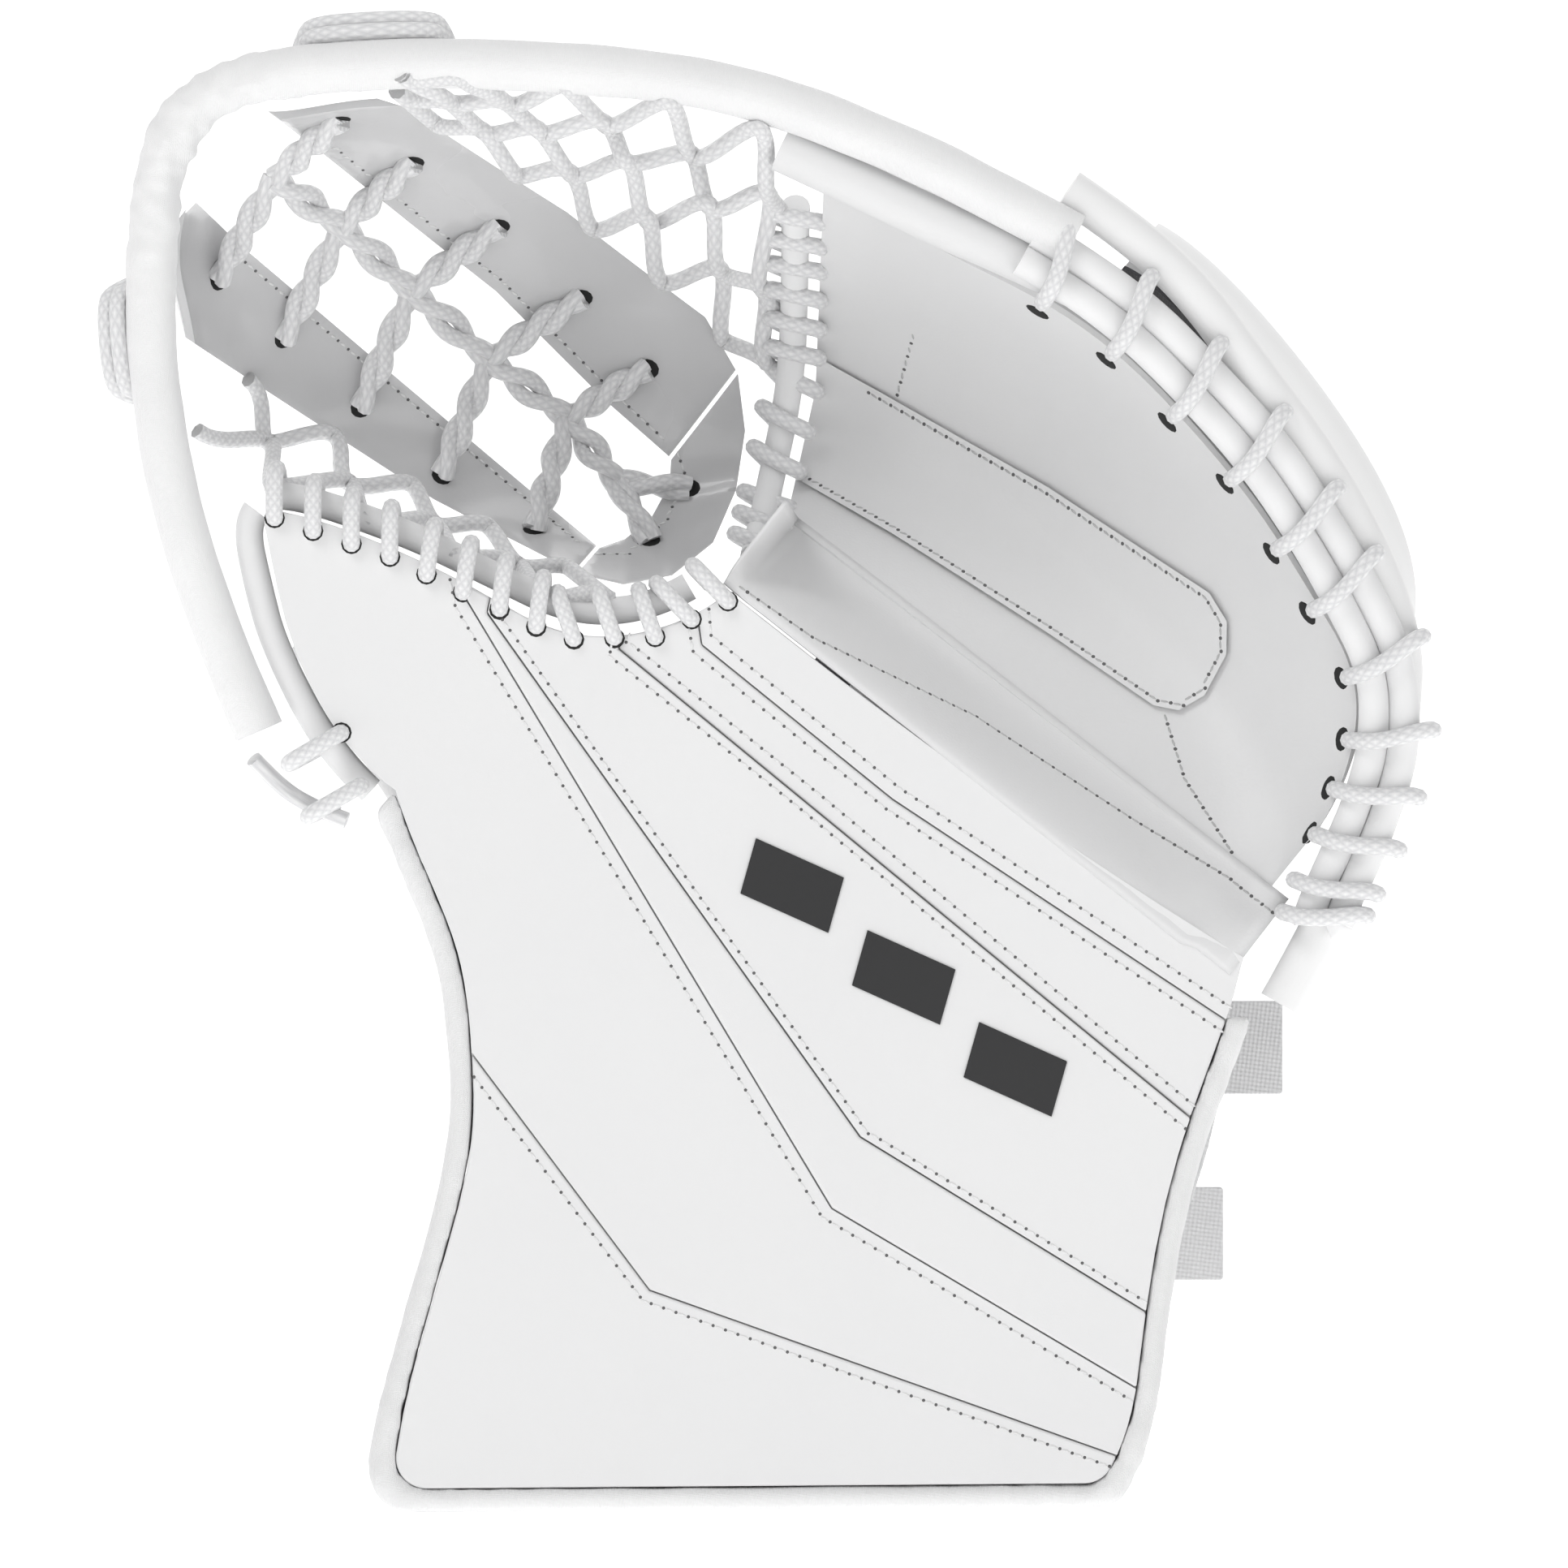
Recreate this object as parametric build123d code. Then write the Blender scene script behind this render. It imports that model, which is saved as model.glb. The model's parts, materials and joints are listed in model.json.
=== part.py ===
from build123d import *
import math
import os

# Goalie catch glove for the left hand, palm side towards -Y, cuff down, millimetres.
# The glove folds along one straight line that runs from the heel of the palm up to the
# corner of the pocket.  Every shape is laid out from that fold line:
#   s  is the share of the fold line's length, in percent, from the heel to the pocket corner,
#   t  is the share of the glove's width across the fold, in percent, plus is the finger side,
#   d  is the depth in millimetres behind the flat face of the cuff.
# The fold axis itself lies in the flat face, along the fold line.
# The origin is the middle of the wrist opening, where the hand goes in.

# ---------------------------------------------------------------- driving sizes
fold_length = 356.0        # heel of the palm to the pocket corner
fold_width = 382.0         # cuff corner to finger rim, across the fold line
fold_tilt = 38.3           # fold line's lean to the left, measured up from level
heel_x = 94.7              # heel of the palm, right of the wrist opening's middle
heel_z = 80.7              # heel of the palm, above the wrist opening's middle
face_y = -55.0             # flat face of the cuff, in front of the wrist opening's middle
pocket_depth = 100.0       # deepest point of the pocket, behind the face of the cuff
rim_lift = 24.0            # how far the finger rim bows forward of the face

leather = 1.5              # one ply of synthetic leather
palm_gap = 0.8             # the same between the curved layers of the palm
layer_gap = 0.3            # air between two plies that are glued or sewn in the real glove
lace = 4.5                 # round braided lace
lace_clearance = 0.5       # lace to the piece that it goes round
bead = 12.0                # fabric covered roll round the pocket
rim_roll = 7.5             # each of the two rolls on the finger rim
edge_roll = 7.0            # roll along the edges of the thumb and the palm at the pocket

face_thickness = 1.5       # leather panels on the front of the cuff
panel_raise = 0.9          # extra thickness of the two raised panels
panel_gap = 0.4            # seam between two face panels
mark_thickness = 0.5       # dark bars on the main panel
cuff_foam_thickness = 10.0
cuff_board_thickness = 2.5
cuff_lining_thickness = 1.5
binding_width = 6.0        # how far the fabric binding covers the front of the cuff
binding_round = 4.0        # rounding of the binding's corners

palm_foam_thickness = 6.0
palm_board_thickness = 2.0
palm_lining_thickness = 1.2
finger_height = 22.0       # room for a finger between the palm lining and the back lining
finger_pitch = 27.0        # width of one finger space
divider_thickness = 1.2
back_lining_thickness = 1.0
back_pad_thickness = 11.0
guard_thickness = 3.0      # moulded guard over the finger tips
guard_rim = 7.0            # padded front rim of that guard
heel_strip_reach = 17.0    # soft leather between the cuff and the firm palm

strap_leather = 3.0        # two plies of smooth leather in the pocket straps

thumb_wall = 2.0
thumb_height = 32.0        # thumb sleeve, front to back
thumb_pad_thickness = 9.0

wrist_room = 62.0          # depth of the wrist opening
wrist_pad_thickness = 11.0
wrist_pad_width = 104.0
wrist_pad_height = 92.0
wrist_pad_round = 14.0
gusset_thickness = 1.6
webbing_width = 25.0       # closure straps
webbing_thickness = 2.4
patch_thickness = 1.4      # hook and loop patches

os.makedirs("parts", exist_ok=True)

arc_share = 0.45           # share of the shorter run that an arc takes at each corner

FORWARD = Vector(0, -1, 0)
BACKWARD = Vector(0, 1, 0)
COS = math.cos(math.radians(fold_tilt))
SIN = math.sin(math.radians(fold_tilt))
ALONG = Vector(-COS, 0, SIN)
ACROSS = Vector(SIN, 0, COS)
HEEL = Vector(heel_x, face_y, heel_z)

cuff_foam_depth = face_thickness + layer_gap
cuff_board_depth = cuff_foam_depth + cuff_foam_thickness + layer_gap
cuff_lining_depth = cuff_board_depth + cuff_board_thickness + layer_gap
cuff_depth = cuff_lining_depth + cuff_lining_thickness

palm_foam_offset = leather + palm_gap
palm_board_offset = palm_foam_offset + palm_foam_thickness + palm_gap
palm_lining_offset = palm_board_offset + palm_board_thickness + palm_gap
finger_offset = palm_lining_offset + palm_lining_thickness + palm_gap
back_lining_offset = finger_offset + finger_height + palm_gap
back_pad_offset = back_lining_offset + back_lining_thickness + palm_gap


# ---------------------------------------------------------------- helpers
def s_mm(s):
    return fold_length * s / 100


def t_mm(t):
    return fold_width * t / 100


def at(s, t, d):
    """Point at shares s and t and depth d."""
    return HEEL + ALONG * s_mm(s) + ACROSS * t_mm(t) + BACKWARD * d


def between(table, x):
    """Value at x on straight lines between the table's (x, value) knots."""
    if x <= table[0][0]:
        return table[0][1]
    for (x0, v0), (x1, v1) in zip(table, table[1:]):
        if x <= x1:
            return v0 + (v1 - v0) * (x - x0) / (x1 - x0)
    return table[-1][1]


def save(solids, name):
    """Write one node, given as a solid or as a list of solids."""
    group = solids if isinstance(solids, (list, tuple, ShapeList)) else [solids]
    flat = [solid for shape in group for solid in shape.solids()]
    shape = flat[0] if len(flat) == 1 else Compound(children=flat)
    shape.label = name
    export_step(shape, f"parts/{name}.step")


def panel(edges, depth, thickness):
    """Flat sheet bounded by edges that lie at depth 0, moved back to depth."""
    face = Face(Wire(edges)).moved(Location(BACKWARD * depth))
    return extrude(face, amount=thickness, dir=BACKWARD)


def outline(points, depth=0.0):
    """Straight-sided face through (s, t) points."""
    corners = [at(s, t, depth) for s, t in points]
    return Face(Wire(Polyline(*corners, close=True).edges()))


def prism(points):
    """Tall straight-sided block through (s, t) points, for cutting the curved shells."""
    reach = 2 * (pocket_depth + rim_lift)
    return extrude(outline(points, -reach), amount=3 * reach, dir=BACKWARD)


def route_radii(points):
    """Largest arcs that the runs beside each corner allow."""
    radii = []
    for i in range(1, len(points) - 1):
        before = points[i] - points[i - 1]
        after = points[i + 1] - points[i]
        turn = math.radians(before.get_angle(after))
        radii.append(arc_share * min(before.length, after.length) / math.tan(turn / 2))
    return radii


def tube(points, diameter):
    """Round cord or roll along straight runs that are joined by tangent arcs."""
    if len(points) > 2:
        path = FilletPolyline(*points, radius=route_radii(points))
    else:
        path = Line(*points)
    section = Plane(origin=path @ 0, z_dir=path % 0) * Circle(diameter / 2)
    return sweep(section, path=path)


# ---------------------------------------------------------------- bowl of the palm and pocket
# Knots are shares along the fold; the values are t shares, depths or plain shape numbers.
bowl_low = [
    (0.0, 0.4), (47.7, -2.2), (51.2, -7.9), (56.1, -10.1), (62.6, -11.1), (69.1, -12.4),
    (78.1, -15.2), (80.0, -17.2), (82.0, -17.9), (84.3, -17.2), (88.8, -13.6), (93.5, -8.9),
    (97.0, -4.2),
]
bowl_high = [
    (3.5, 10.0), (4.8, 13.6), (5.8, 16.8), (8.7, 19.9), (13.7, 22.1), (18.5, 23.8), (24.3, 25.4),
    (30.4, 26.4), (36.7, 27.0), (45.8, 26.2), (51.7, 25.4), (58.2, 24.3), (67.3, 22.3),
    (75.4, 19.2), (85.2, 13.1), (92.1, 7.6), (97.0, 2.6),
]
bowl_depth = [
    (3.4, 0.05), (8.7, 0.20), (14.0, 0.34), (28.0, 0.60), (42.0, 0.82), (54.0, 0.97),
    (68.0, 1.0), (80.0, 0.88), (90.0, 0.62), (97.0, 0.30),
]
bowl_peak = [(42.0, 0.60), (70.0, 0.35)]
bowl_rise = [(42.0, 1.5), (70.0, 4.0)]
bowl_rise_power = [(42.0, 1.0), (70.0, 0.5)]
fall_exponent = 2.2
fall_power = 0.65
low_edge_depth = [(0.0, 6.0), (46.0, 8.0), (60.0, 10.0), (84.0, 8.0), (97.0, 2.0)]


def rim_depth(s):
    """Depth of the finger rim and of the bead, which bow forward between heel and corner."""
    return -rim_lift * math.sin(math.pi * min(max((s - 3) / 97, 0), 1))


def bowl_point(s, v):
    """Bowl surface at s, where v runs from 0 at the thumb edge to 1 at the finger rim."""
    t0 = t_mm(between(bowl_low, s))
    t1 = t_mm(between(bowl_high, s))
    peak = between(bowl_peak, s)
    if v < peak:
        part = 1 - (1 - v / peak) ** between(bowl_rise, s)
        shape = part ** between(bowl_rise_power, s)
    else:
        part = 1 - ((v - peak) / (1 - peak)) ** fall_exponent
        shape = part ** fall_power
    low = between(low_edge_depth, s)
    high = rim_depth(s)
    depth = low + (high - low) * v + pocket_depth * between(bowl_depth, s) * shape
    return t0 + (t1 - t0) * v, depth


def bowl_normal(s, v):
    """Outward direction of the bowl, in the plane of constant s."""
    step = 0.01
    t0, d0 = bowl_point(s, max(v - step, 0.0))
    t1, d1 = bowl_point(s, min(v + step, 1.0))
    length = math.hypot(t1 - t0, d1 - d0)
    return -(d1 - d0) / length, (t1 - t0) / length


def on_bowl(s, v, offset):
    """Point on the bowl, moved outward by offset."""
    t, d = bowl_point(s, v)
    n_t, n_d = bowl_normal(s, v)
    return HEEL + ALONG * s_mm(s) + ACROSS * (t + n_t * offset) + BACKWARD * (d + n_d * offset)


def share(s, t):
    """v of the bowl point that has share t."""
    low = between(bowl_low, s)
    return (t - low) / (between(bowl_high, s) - low)


def shell(stations, inner, outer, v_from, v_to, steps=9):
    """Closed curved layer through crescents at the given s shares.

    inner and outer are offsets as functions of v; v_from and v_to are functions of s."""
    sections = []
    for s in stations:
        v0 = v_from(s)
        v1 = v_to(s)
        values = [v0 + (v1 - v0) * i / (steps - 1) for i in range(steps)]
        near = [on_bowl(s, v, inner(v)) for v in values]
        far = [on_bowl(s, v, outer(v)) for v in reversed(values)]
        edges = [Spline(*near), Line(near[-1], far[0]), Spline(*far), Line(far[-1], near[0])]
        sections.append(Wire([edge.edges()[0] for edge in edges]))
    return Solid.make_loft(sections)


def constant(value):
    return lambda _: value


def aside(points, amount):
    """(s, t) points moved sideways in the face's plane, to the right of their direction."""
    moved = []
    for i, (s, t) in enumerate(points):
        s0, t0 = points[max(i - 1, 0)]
        s1, t1 = points[min(i + 1, len(points) - 1)]
        run_s = s_mm(s1 - s0)
        run_t = t_mm(t1 - t0)
        length = math.hypot(run_s, run_t)
        new_s = s + run_t / length * amount / s_mm(1)
        new_t = t - run_s / length * amount / t_mm(1)
        moved.append((new_s, new_t))
    return moved


# ---------------------------------------------------------------- outline of the cuff and thumb
pocket_side = [
    (49.0, -0.6), (51.9, -6.4), (56.1, -9.7), (62.7, -11.1), (69.2, -12.4), (77.9, -15.3),
]
thumb_tip = [(77.9, -15.3), (79.8, -17.2), (78.8, -19.2)]
thumb_side = [(78.8, -19.2), (75.4, -21.9), (71.5, -24.6), (63.6, -27.9), (58.5, -28.4)]
wrist_side = [
    (58.5, -28.4), (53.5, -31.2), (47.9, -34.3), (43.8, -37.9), (39.4, -43.0), (36.7, -48.0),
    (33.4, -55.4), (27.2, -66.6),
]
bottom_side = [(27.2, -66.6), (6.3, -51.0), (-15.6, -34.6)]
heel_side = [
    (-15.6, -34.6), (-14.0, -28.9), (-10.5, -23.1), (-4.1, -11.0), (-1.2, -2.9), (0.9, 1.7),
]
crease_side = [(0.9, 1.7), (25.6, -0.2), (49.0, -0.6)]
corner_round = 11.0


def curve(points, depth=0.0):
    return Spline(*[at(s, t, depth) for s, t in points]).edges()[0]


sides = [pocket_side, thumb_tip, thumb_side, wrist_side, bottom_side, heel_side, crease_side]


def inset_sides(inset):
    """The cuff's sides, every point moved inward square to the two runs that meet there."""
    ring = [point for side in sides for point in side[:-1]]
    count = len(ring)
    flat = [(s_mm(s), t_mm(t)) for s, t in ring]
    moved = []
    for i, (s, t) in enumerate(flat):
        s0, t0 = flat[i - 1]
        s1, t1 = flat[(i + 1) % count]
        before = math.hypot(s - s0, t - t0)
        after = math.hypot(s1 - s, t1 - t)
        n0 = ((t - t0) / before, -(s - s0) / before)
        n1 = ((t1 - t) / after, -(s1 - s) / after)
        mitre = inset / (1 + n0[0] * n1[0] + n0[1] * n1[1])
        new_s = s + (n0[0] + n1[0]) * mitre
        new_t = t + (n0[1] + n1[1]) * mitre
        moved.append((new_s / s_mm(1), new_t / t_mm(1)))
    result = []
    start = 0
    for side in sides:
        stop = start + len(side) - 1
        result.append([moved[i % count] for i in range(start, stop + 1)])
        start = stop
    return result


def cuff_face_outline(inset):
    """Flat face inside the cuff's outline, its two low corners rounded."""
    face = Face(Wire([curve(side) for side in inset_sides(inset)]))
    low_corners = face.vertices().sort_by(Axis.Z)[:2]
    return face.fillet_2d(max(corner_round - inset / 2, 1), low_corners)


def cuff_sheet(inset, depth, thickness):
    """Flat layer of the cuff and thumb, its edge set in from the outline."""
    face = cuff_face_outline(inset).moved(Location(BACKWARD * depth))
    return extrude(face, amount=thickness, dir=BACKWARD)


layer_inset = binding_width + layer_gap
cuff_foam = cuff_sheet(layer_inset, cuff_foam_depth, cuff_foam_thickness)
cuff_board = cuff_sheet(layer_inset + 2 * leather, cuff_board_depth, cuff_board_thickness)
cuff_lining = cuff_sheet(layer_inset, cuff_lining_depth, cuff_lining_thickness)
save(cuff_foam, "cuff_foam")
save(cuff_board, "cuff_board")
save(cuff_lining, "cuff_lining")

# ---------------------------------------------------------------- leather panels of the face
# Seams fan out from the thumb's pocket side to the wrist side, and end past the outline.
seam_low = [(90.0, -40.0), (50.5, -37.0), (44.1, -37.0), (20.9, -42.7), (-16.0, -31.0)]
seam_band = [(90.0, -8.0), (66.5, -10.5), (62.4, -13.7), (14.2, -30.7), (-15.0, -27.0)]
seam_main = [(62.5, -10.0), (60.7, -13.5), (15.8, -25.7), (-13.0, -22.5)]
seam_upper = [(53.0, -7.0), (51.6, -9.9), (33.6, -10.0), (-5.5, -10.9)]
seam_heel = [(49.5, -4.0), (47.0, -6.2), (29.2, -6.4), (-3.0, -3.9)]
past_low = [(60.0, -75.0), (-30.0, -75.0)]
past_crease = [(60.0, 8.0), (-30.0, 8.0)]


def seam_block(upper, lower):
    """Region between two seams, as a block that cuts one panel from the face."""
    half = panel_gap / 2
    upper_edge = aside(upper, -half) if upper is not past_crease else upper
    lower_edge = aside(lower, half) if lower is not past_low else lower
    return prism(lower_edge + list(reversed(upper_edge)))


face_panels = {
    "face_panel_lower": (seam_low, past_low, 0.0),
    "face_panel_thumb": (seam_band, seam_low, 0.0),
    "face_panel_band": (seam_main, seam_band, panel_raise),
    "face_panel_main": (seam_upper, seam_main, panel_raise),
    "face_panel_upper": (seam_heel, seam_upper, 0.0),
    "face_panel_heel": (past_crease, seam_heel, 0.0),
}
for name, (upper, lower, extra) in face_panels.items():
    sheet = cuff_sheet(layer_inset, -extra, face_thickness + extra)
    save(sheet & seam_block(upper, lower), name)

# Three slanted dark bars on the main panel.
mark_centres = [(31.0, -15.2), (20.5, -15.4), (10.0, -15.6)]
mark_length = 8.4          # percent of the fold line
mark_height = 5.2          # percent of the width
mark_slant = 1.6
bars = []
for s, t in mark_centres:
    corners = [
        (s + mark_length / 2, t + mark_height / 2 - mark_slant),
        (s - mark_length / 2 + mark_slant, t + mark_height / 2),
        (s - mark_length / 2, t - mark_height / 2 + mark_slant),
        (s + mark_length / 2 - mark_slant, t - mark_height / 2),
    ]
    bar = extrude(outline(corners, -panel_raise), amount=mark_thickness, dir=FORWARD)
    bars.append(bar)
save(bars, "face_bars")

# ---------------------------------------------------------------- binding and rolls of the cuff
binding_depth = -panel_raise
outer_block = extrude(
    cuff_face_outline(0).moved(Location(BACKWARD * binding_depth)),
    amount=cuff_depth - binding_depth,
    dir=BACKWARD,
)
inner_block = cuff_sheet(binding_width, binding_depth - 1, cuff_depth - binding_depth + 2)
bound_sides = [
    (58.0, -27.0), (58.0, -75.0), (-30.0, -75.0), (-30.0, -2.9), (-1.0, -2.9), (4.0, -8.0),
    (10.0, -30.0), (45.0, -30.0),
]
outer_edges = outer_block.edges().filter_by(Axis.Y, reverse=True)
rounded_block = fillet(outer_edges, binding_round)
save((rounded_block - inner_block) & prism(bound_sides), "cuff_binding")

roll_inset = binding_width - edge_roll / 2 - 3 * lace_clearance
roll_sides = inset_sides(roll_inset)
edge_depth = cuff_depth / 2
thumb_edge = [at(s, t, edge_depth) for s, t in roll_sides[0] + [roll_sides[1][1]]]
thumb_edge[0] = at(50.4, -3.6, edge_depth)
save(tube(thumb_edge, edge_roll), "thumb_edge_roll")
thumb_outer = [at(s, t, edge_depth) for s, t in roll_sides[2][1:]]
thumb_outer[-1] = at(59.4, -28.2, edge_depth)
save(tube(thumb_outer, edge_roll), "thumb_side_roll")


# Whip lace round the thumb's pocket edge: each wrap stands on the face and passes the roll.
wrap_shares = [0.15, 0.265, 0.38, 0.495, 0.61, 0.725, 0.84, 0.95]
whip_slack = 1.2           # the wraps stand this much further off the roll
lace_stand = lace / 2 + lace_clearance
roll_overhang = edge_roll / 2 - roll_inset + lace_clearance


def whip(path, share_along, reach, front_depth, back_depth):
    """One wrap of lace over the edge path, its two legs lying on the front and the back."""
    middle = path @ share_along
    outward = (path % share_along).cross(FORWARD)
    inner = middle - outward * reach
    outer = middle + outward * (roll_overhang + lace_stand + whip_slack)
    front = face_y + front_depth - lace_stand
    back = face_y + back_depth + lace_stand
    corners = [
        Vector(inner.X, front, inner.Z),
        Vector(outer.X, front, outer.Z),
        Vector(outer.X, back, outer.Z),
        Vector(inner.X, back, inner.Z),
    ]
    return tube(corners, lace)


edge_path = Spline(*[at(s, t, 0) for s, t in pocket_side])
whip_reach = binding_width + lace
thumb_wraps = [
    whip(edge_path, share_along, whip_reach, -panel_raise, cuff_depth)
    for share_along in wrap_shares
]
save(thumb_wraps, "thumb_whip_lace")

# ---------------------------------------------------------------- thumb sleeve and pads
# Stations along the thumb: share s, middle share t, width.
sleeve_stations = [(43.5, -26.2, 48.0), (58.0, -22.6, 40.0), (70.5, -19.8, 31.0)]
sleeve_front = cuff_depth + layer_gap
sleeve_back = sleeve_front + thumb_height
sleeve_round = 10.0


def slab_loft(stations, front, back, narrower, corner):
    """Rounded block that follows the thumb, every side moved in by narrower."""
    sections = []
    for s, t, width in stations:
        centre = at(s, t, (front + back) / 2)
        plane = Plane(origin=centre, x_dir=ACROSS, z_dir=ALONG)
        rounded = RectangleRounded(width - 2 * narrower, back - front, corner)
        sections.append((plane * rounded).faces()[0].outer_wire())
    return Solid.make_loft(sections)


sleeve_mouth = sleeve_stations[0]
sleeve_end = sleeve_stations[-1]
end_wall = 100 * thumb_wall / fold_length
sleeve_hollow = [
    (sleeve_mouth[0] - end_wall, sleeve_mouth[1], sleeve_mouth[2]),
    sleeve_stations[1],
    (sleeve_end[0] - end_wall, sleeve_end[1], sleeve_end[2]),
]
sleeve = slab_loft(sleeve_stations, sleeve_front, sleeve_back, 0, sleeve_round)
hollow = slab_loft(
    sleeve_hollow, sleeve_front + thumb_wall, sleeve_back - thumb_wall, thumb_wall,
    sleeve_round - thumb_wall,
)
save(sleeve - hollow, "thumb_sleeve")

pad_front = sleeve_back + layer_gap
pad_narrower = 3.0
pad_round = 4.0
save(
    slab_loft(
        sleeve_stations, pad_front, pad_front + thumb_pad_thickness, pad_narrower, pad_round,
    ),
    "thumb_back_pad",
)

# Soft pad inside the cuff, behind its lining, against the inner side of the wrist.
inner_pad_thickness = 6.0
inner_pad_width = 96.0
inner_pad_height = 84.0
inner_pad_depth = cuff_depth + layer_gap
wrist_x = 16.0             # middle of the wrist pads, right of the opening's middle
wrist_z = 26.0             # middle of the wrist pads, above the opening's middle


def upright_plate(x, z, width, height, corner, depth, thickness):
    """Upright plate with rounded corners, square to the front."""
    plane = Plane(origin=(x, face_y + depth, z), x_dir=(1, 0, 0), z_dir=(0, -1, 0))
    sheet = (plane * RectangleRounded(width, height, corner)).faces()[0]
    return extrude(sheet, amount=thickness, dir=BACKWARD)


inner_pad = upright_plate(
    wrist_x, wrist_z, inner_pad_width, inner_pad_height, wrist_pad_round,
    inner_pad_depth, inner_pad_thickness,
)
save(inner_pad, "cuff_wrist_pad")

# ---------------------------------------------------------------- bead round the pocket
bead_thumb_route = [
    (68.4, -29.4), (75.6, -25.8), (82.2, -21.9), (88.8, -16.5), (93.6, -11.7), (97.6, -6.4),
]
bead_finger_route = [
    (100.2, 2.3), (97.6, 5.7), (92.1, 10.5), (85.2, 15.6), (75.4, 21.8), (67.3, 25.6),
    (58.2, 28.0), (52.5, 29.2), (48.6, 29.8),
]
bead_start_depth = 8.0
bead_forward = 3.0


def bead_depth(s, t):
    """The thumb half rises from the thumb to the corner, the finger half follows the rim."""
    if t > 0:
        return rim_depth(s) - bead_forward
    rise = (s - bead_thumb_route[0][0]) / (100 - bead_thumb_route[0][0])
    return bead_start_depth * (1 - rise) - bead_forward


bead_thumb = [at(s, t, bead_depth(s, t)) for s, t in bead_thumb_route]
bead_finger = [at(s, t, bead_depth(s, t)) for s, t in bead_finger_route]
save(tube(bead_thumb, bead), "pocket_bead_thumb")
save(tube(bead_finger, bead), "pocket_bead_finger")

# ---------------------------------------------------------------- palm
palm_pocket_line = [(46.0, -4.0), (47.4, -0.9), (54.1, 12.0), (62.8, 23.1), (67.0, 28.5)]
pocket_seam = 6.5          # from the line to the leather on either side of the edge roll
palm_block = prism([(-8, -6)] + aside(palm_pocket_line, -pocket_seam) + [(-8, 45)])
palm_stations = [3.5, 5.8, 8.7, 13.7, 20.0, 28.0, 36.7, 45.8, 54.0, 62.0]
palm_edge = 0.985


def palm_start(s):
    return share(s, heel_strip_reach / t_mm(1))


def palm_layer(offset_from, thickness, v_from, v_to, block=palm_block):
    """Layer of the palm, cut along the pocket and to an optional smaller block."""
    layer = shell(
        palm_stations, constant(offset_from), constant(offset_from + thickness), v_from, v_to,
    )
    return layer & palm_block & block


stiff_block = prism([(7, 0), (45, 0), (45, 45), (7, 45)])
patch_outline = [
    (50.5, 7.0), (41.4, 8.1), (27.4, 9.3), (18.3, 9.8), (16.6, 10.6), (15.8, 12.5),
    (16.4, 15.6), (17.9, 17.4), (20.2, 18.2), (34.3, 17.3), (48.8, 15.4), (54.0, 14.6),
]
patch_thickness_raised = 1.0
palm_leather = palm_layer(0, leather, palm_start, constant(palm_edge))
palm_foam = palm_layer(palm_foam_offset, palm_foam_thickness, palm_start, constant(0.95))
palm_board = palm_layer(
    palm_board_offset, palm_board_thickness, constant(0.42), constant(0.90), stiff_block,
)
palm_lining = palm_layer(
    palm_lining_offset, palm_lining_thickness, constant(0.25), constant(0.93), stiff_block,
)
palm_patch = palm_layer(
    -palm_gap - patch_thickness_raised, patch_thickness_raised,
    palm_start, constant(0.95), prism(patch_outline),
)
save(palm_leather, "palm_leather")
save(palm_foam, "palm_foam")
save(palm_board, "palm_board")
save(palm_lining, "palm_lining")
save(palm_patch, "palm_patch")

# Soft leather between the cuff and the firm palm: it folds with the glove.
strip_gap = 0.02
heel_strip = shell(
    palm_stations[:8], constant(0), constant(leather),
    constant(0.01), lambda s: palm_start(s) - strip_gap,
)
save(heel_strip & palm_block, "palm_heel_strip")

# Roll and whip lace along the palm's edge at the pocket.
palm_edge_points = [(48.2, 0.9), (50.2, 4.6), (54.1, 12.0), (58.6, 17.7), (61.6, 21.3)]
palm_edge_path = [on_bowl(s, share(s, t), 0) for s, t in palm_edge_points]
save(tube(palm_edge_path, edge_roll), "palm_edge_roll")

# ---------------------------------------------------------------- rolls and lace of the rim
# Lace holes along the rim, from the bead down to the heel.
rim_holes = [
    (42.9, 26.0), (36.7, 26.3), (30.4, 25.6), (24.3, 24.7), (18.5, 23.0), (13.7, 21.3),
    (8.7, 19.2), (5.8, 15.9), (4.4, 12.7), (3.4, 9.5), (2.6, 6.2), (1.8, 4.0),
]
rim_start = (45.8, 25.6)
rim_finish = (1.4, 3.5)
hole_to_roll = 6.5         # lace hole to the middle of the first roll
roll_depth = 3.0           # rolls stand this far forward of the rim
rim_line = [rim_start] + rim_holes + [rim_finish]


def rim_route(sideways, forward):
    """Route that follows the lace holes at a set distance outside them."""
    moved = aside(rim_line, sideways)
    return [
        at(s, t, rim_depth(hole_s) - forward)
        for (s, t), (hole_s, _) in zip(moved, rim_line)
    ]


roll_pitch = rim_roll + layer_gap
save(tube(rim_route(hole_to_roll, roll_depth), rim_roll), "rim_roll_palm")
save(tube(rim_route(hole_to_roll + roll_pitch, roll_depth), rim_roll), "rim_roll_finger")

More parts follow.
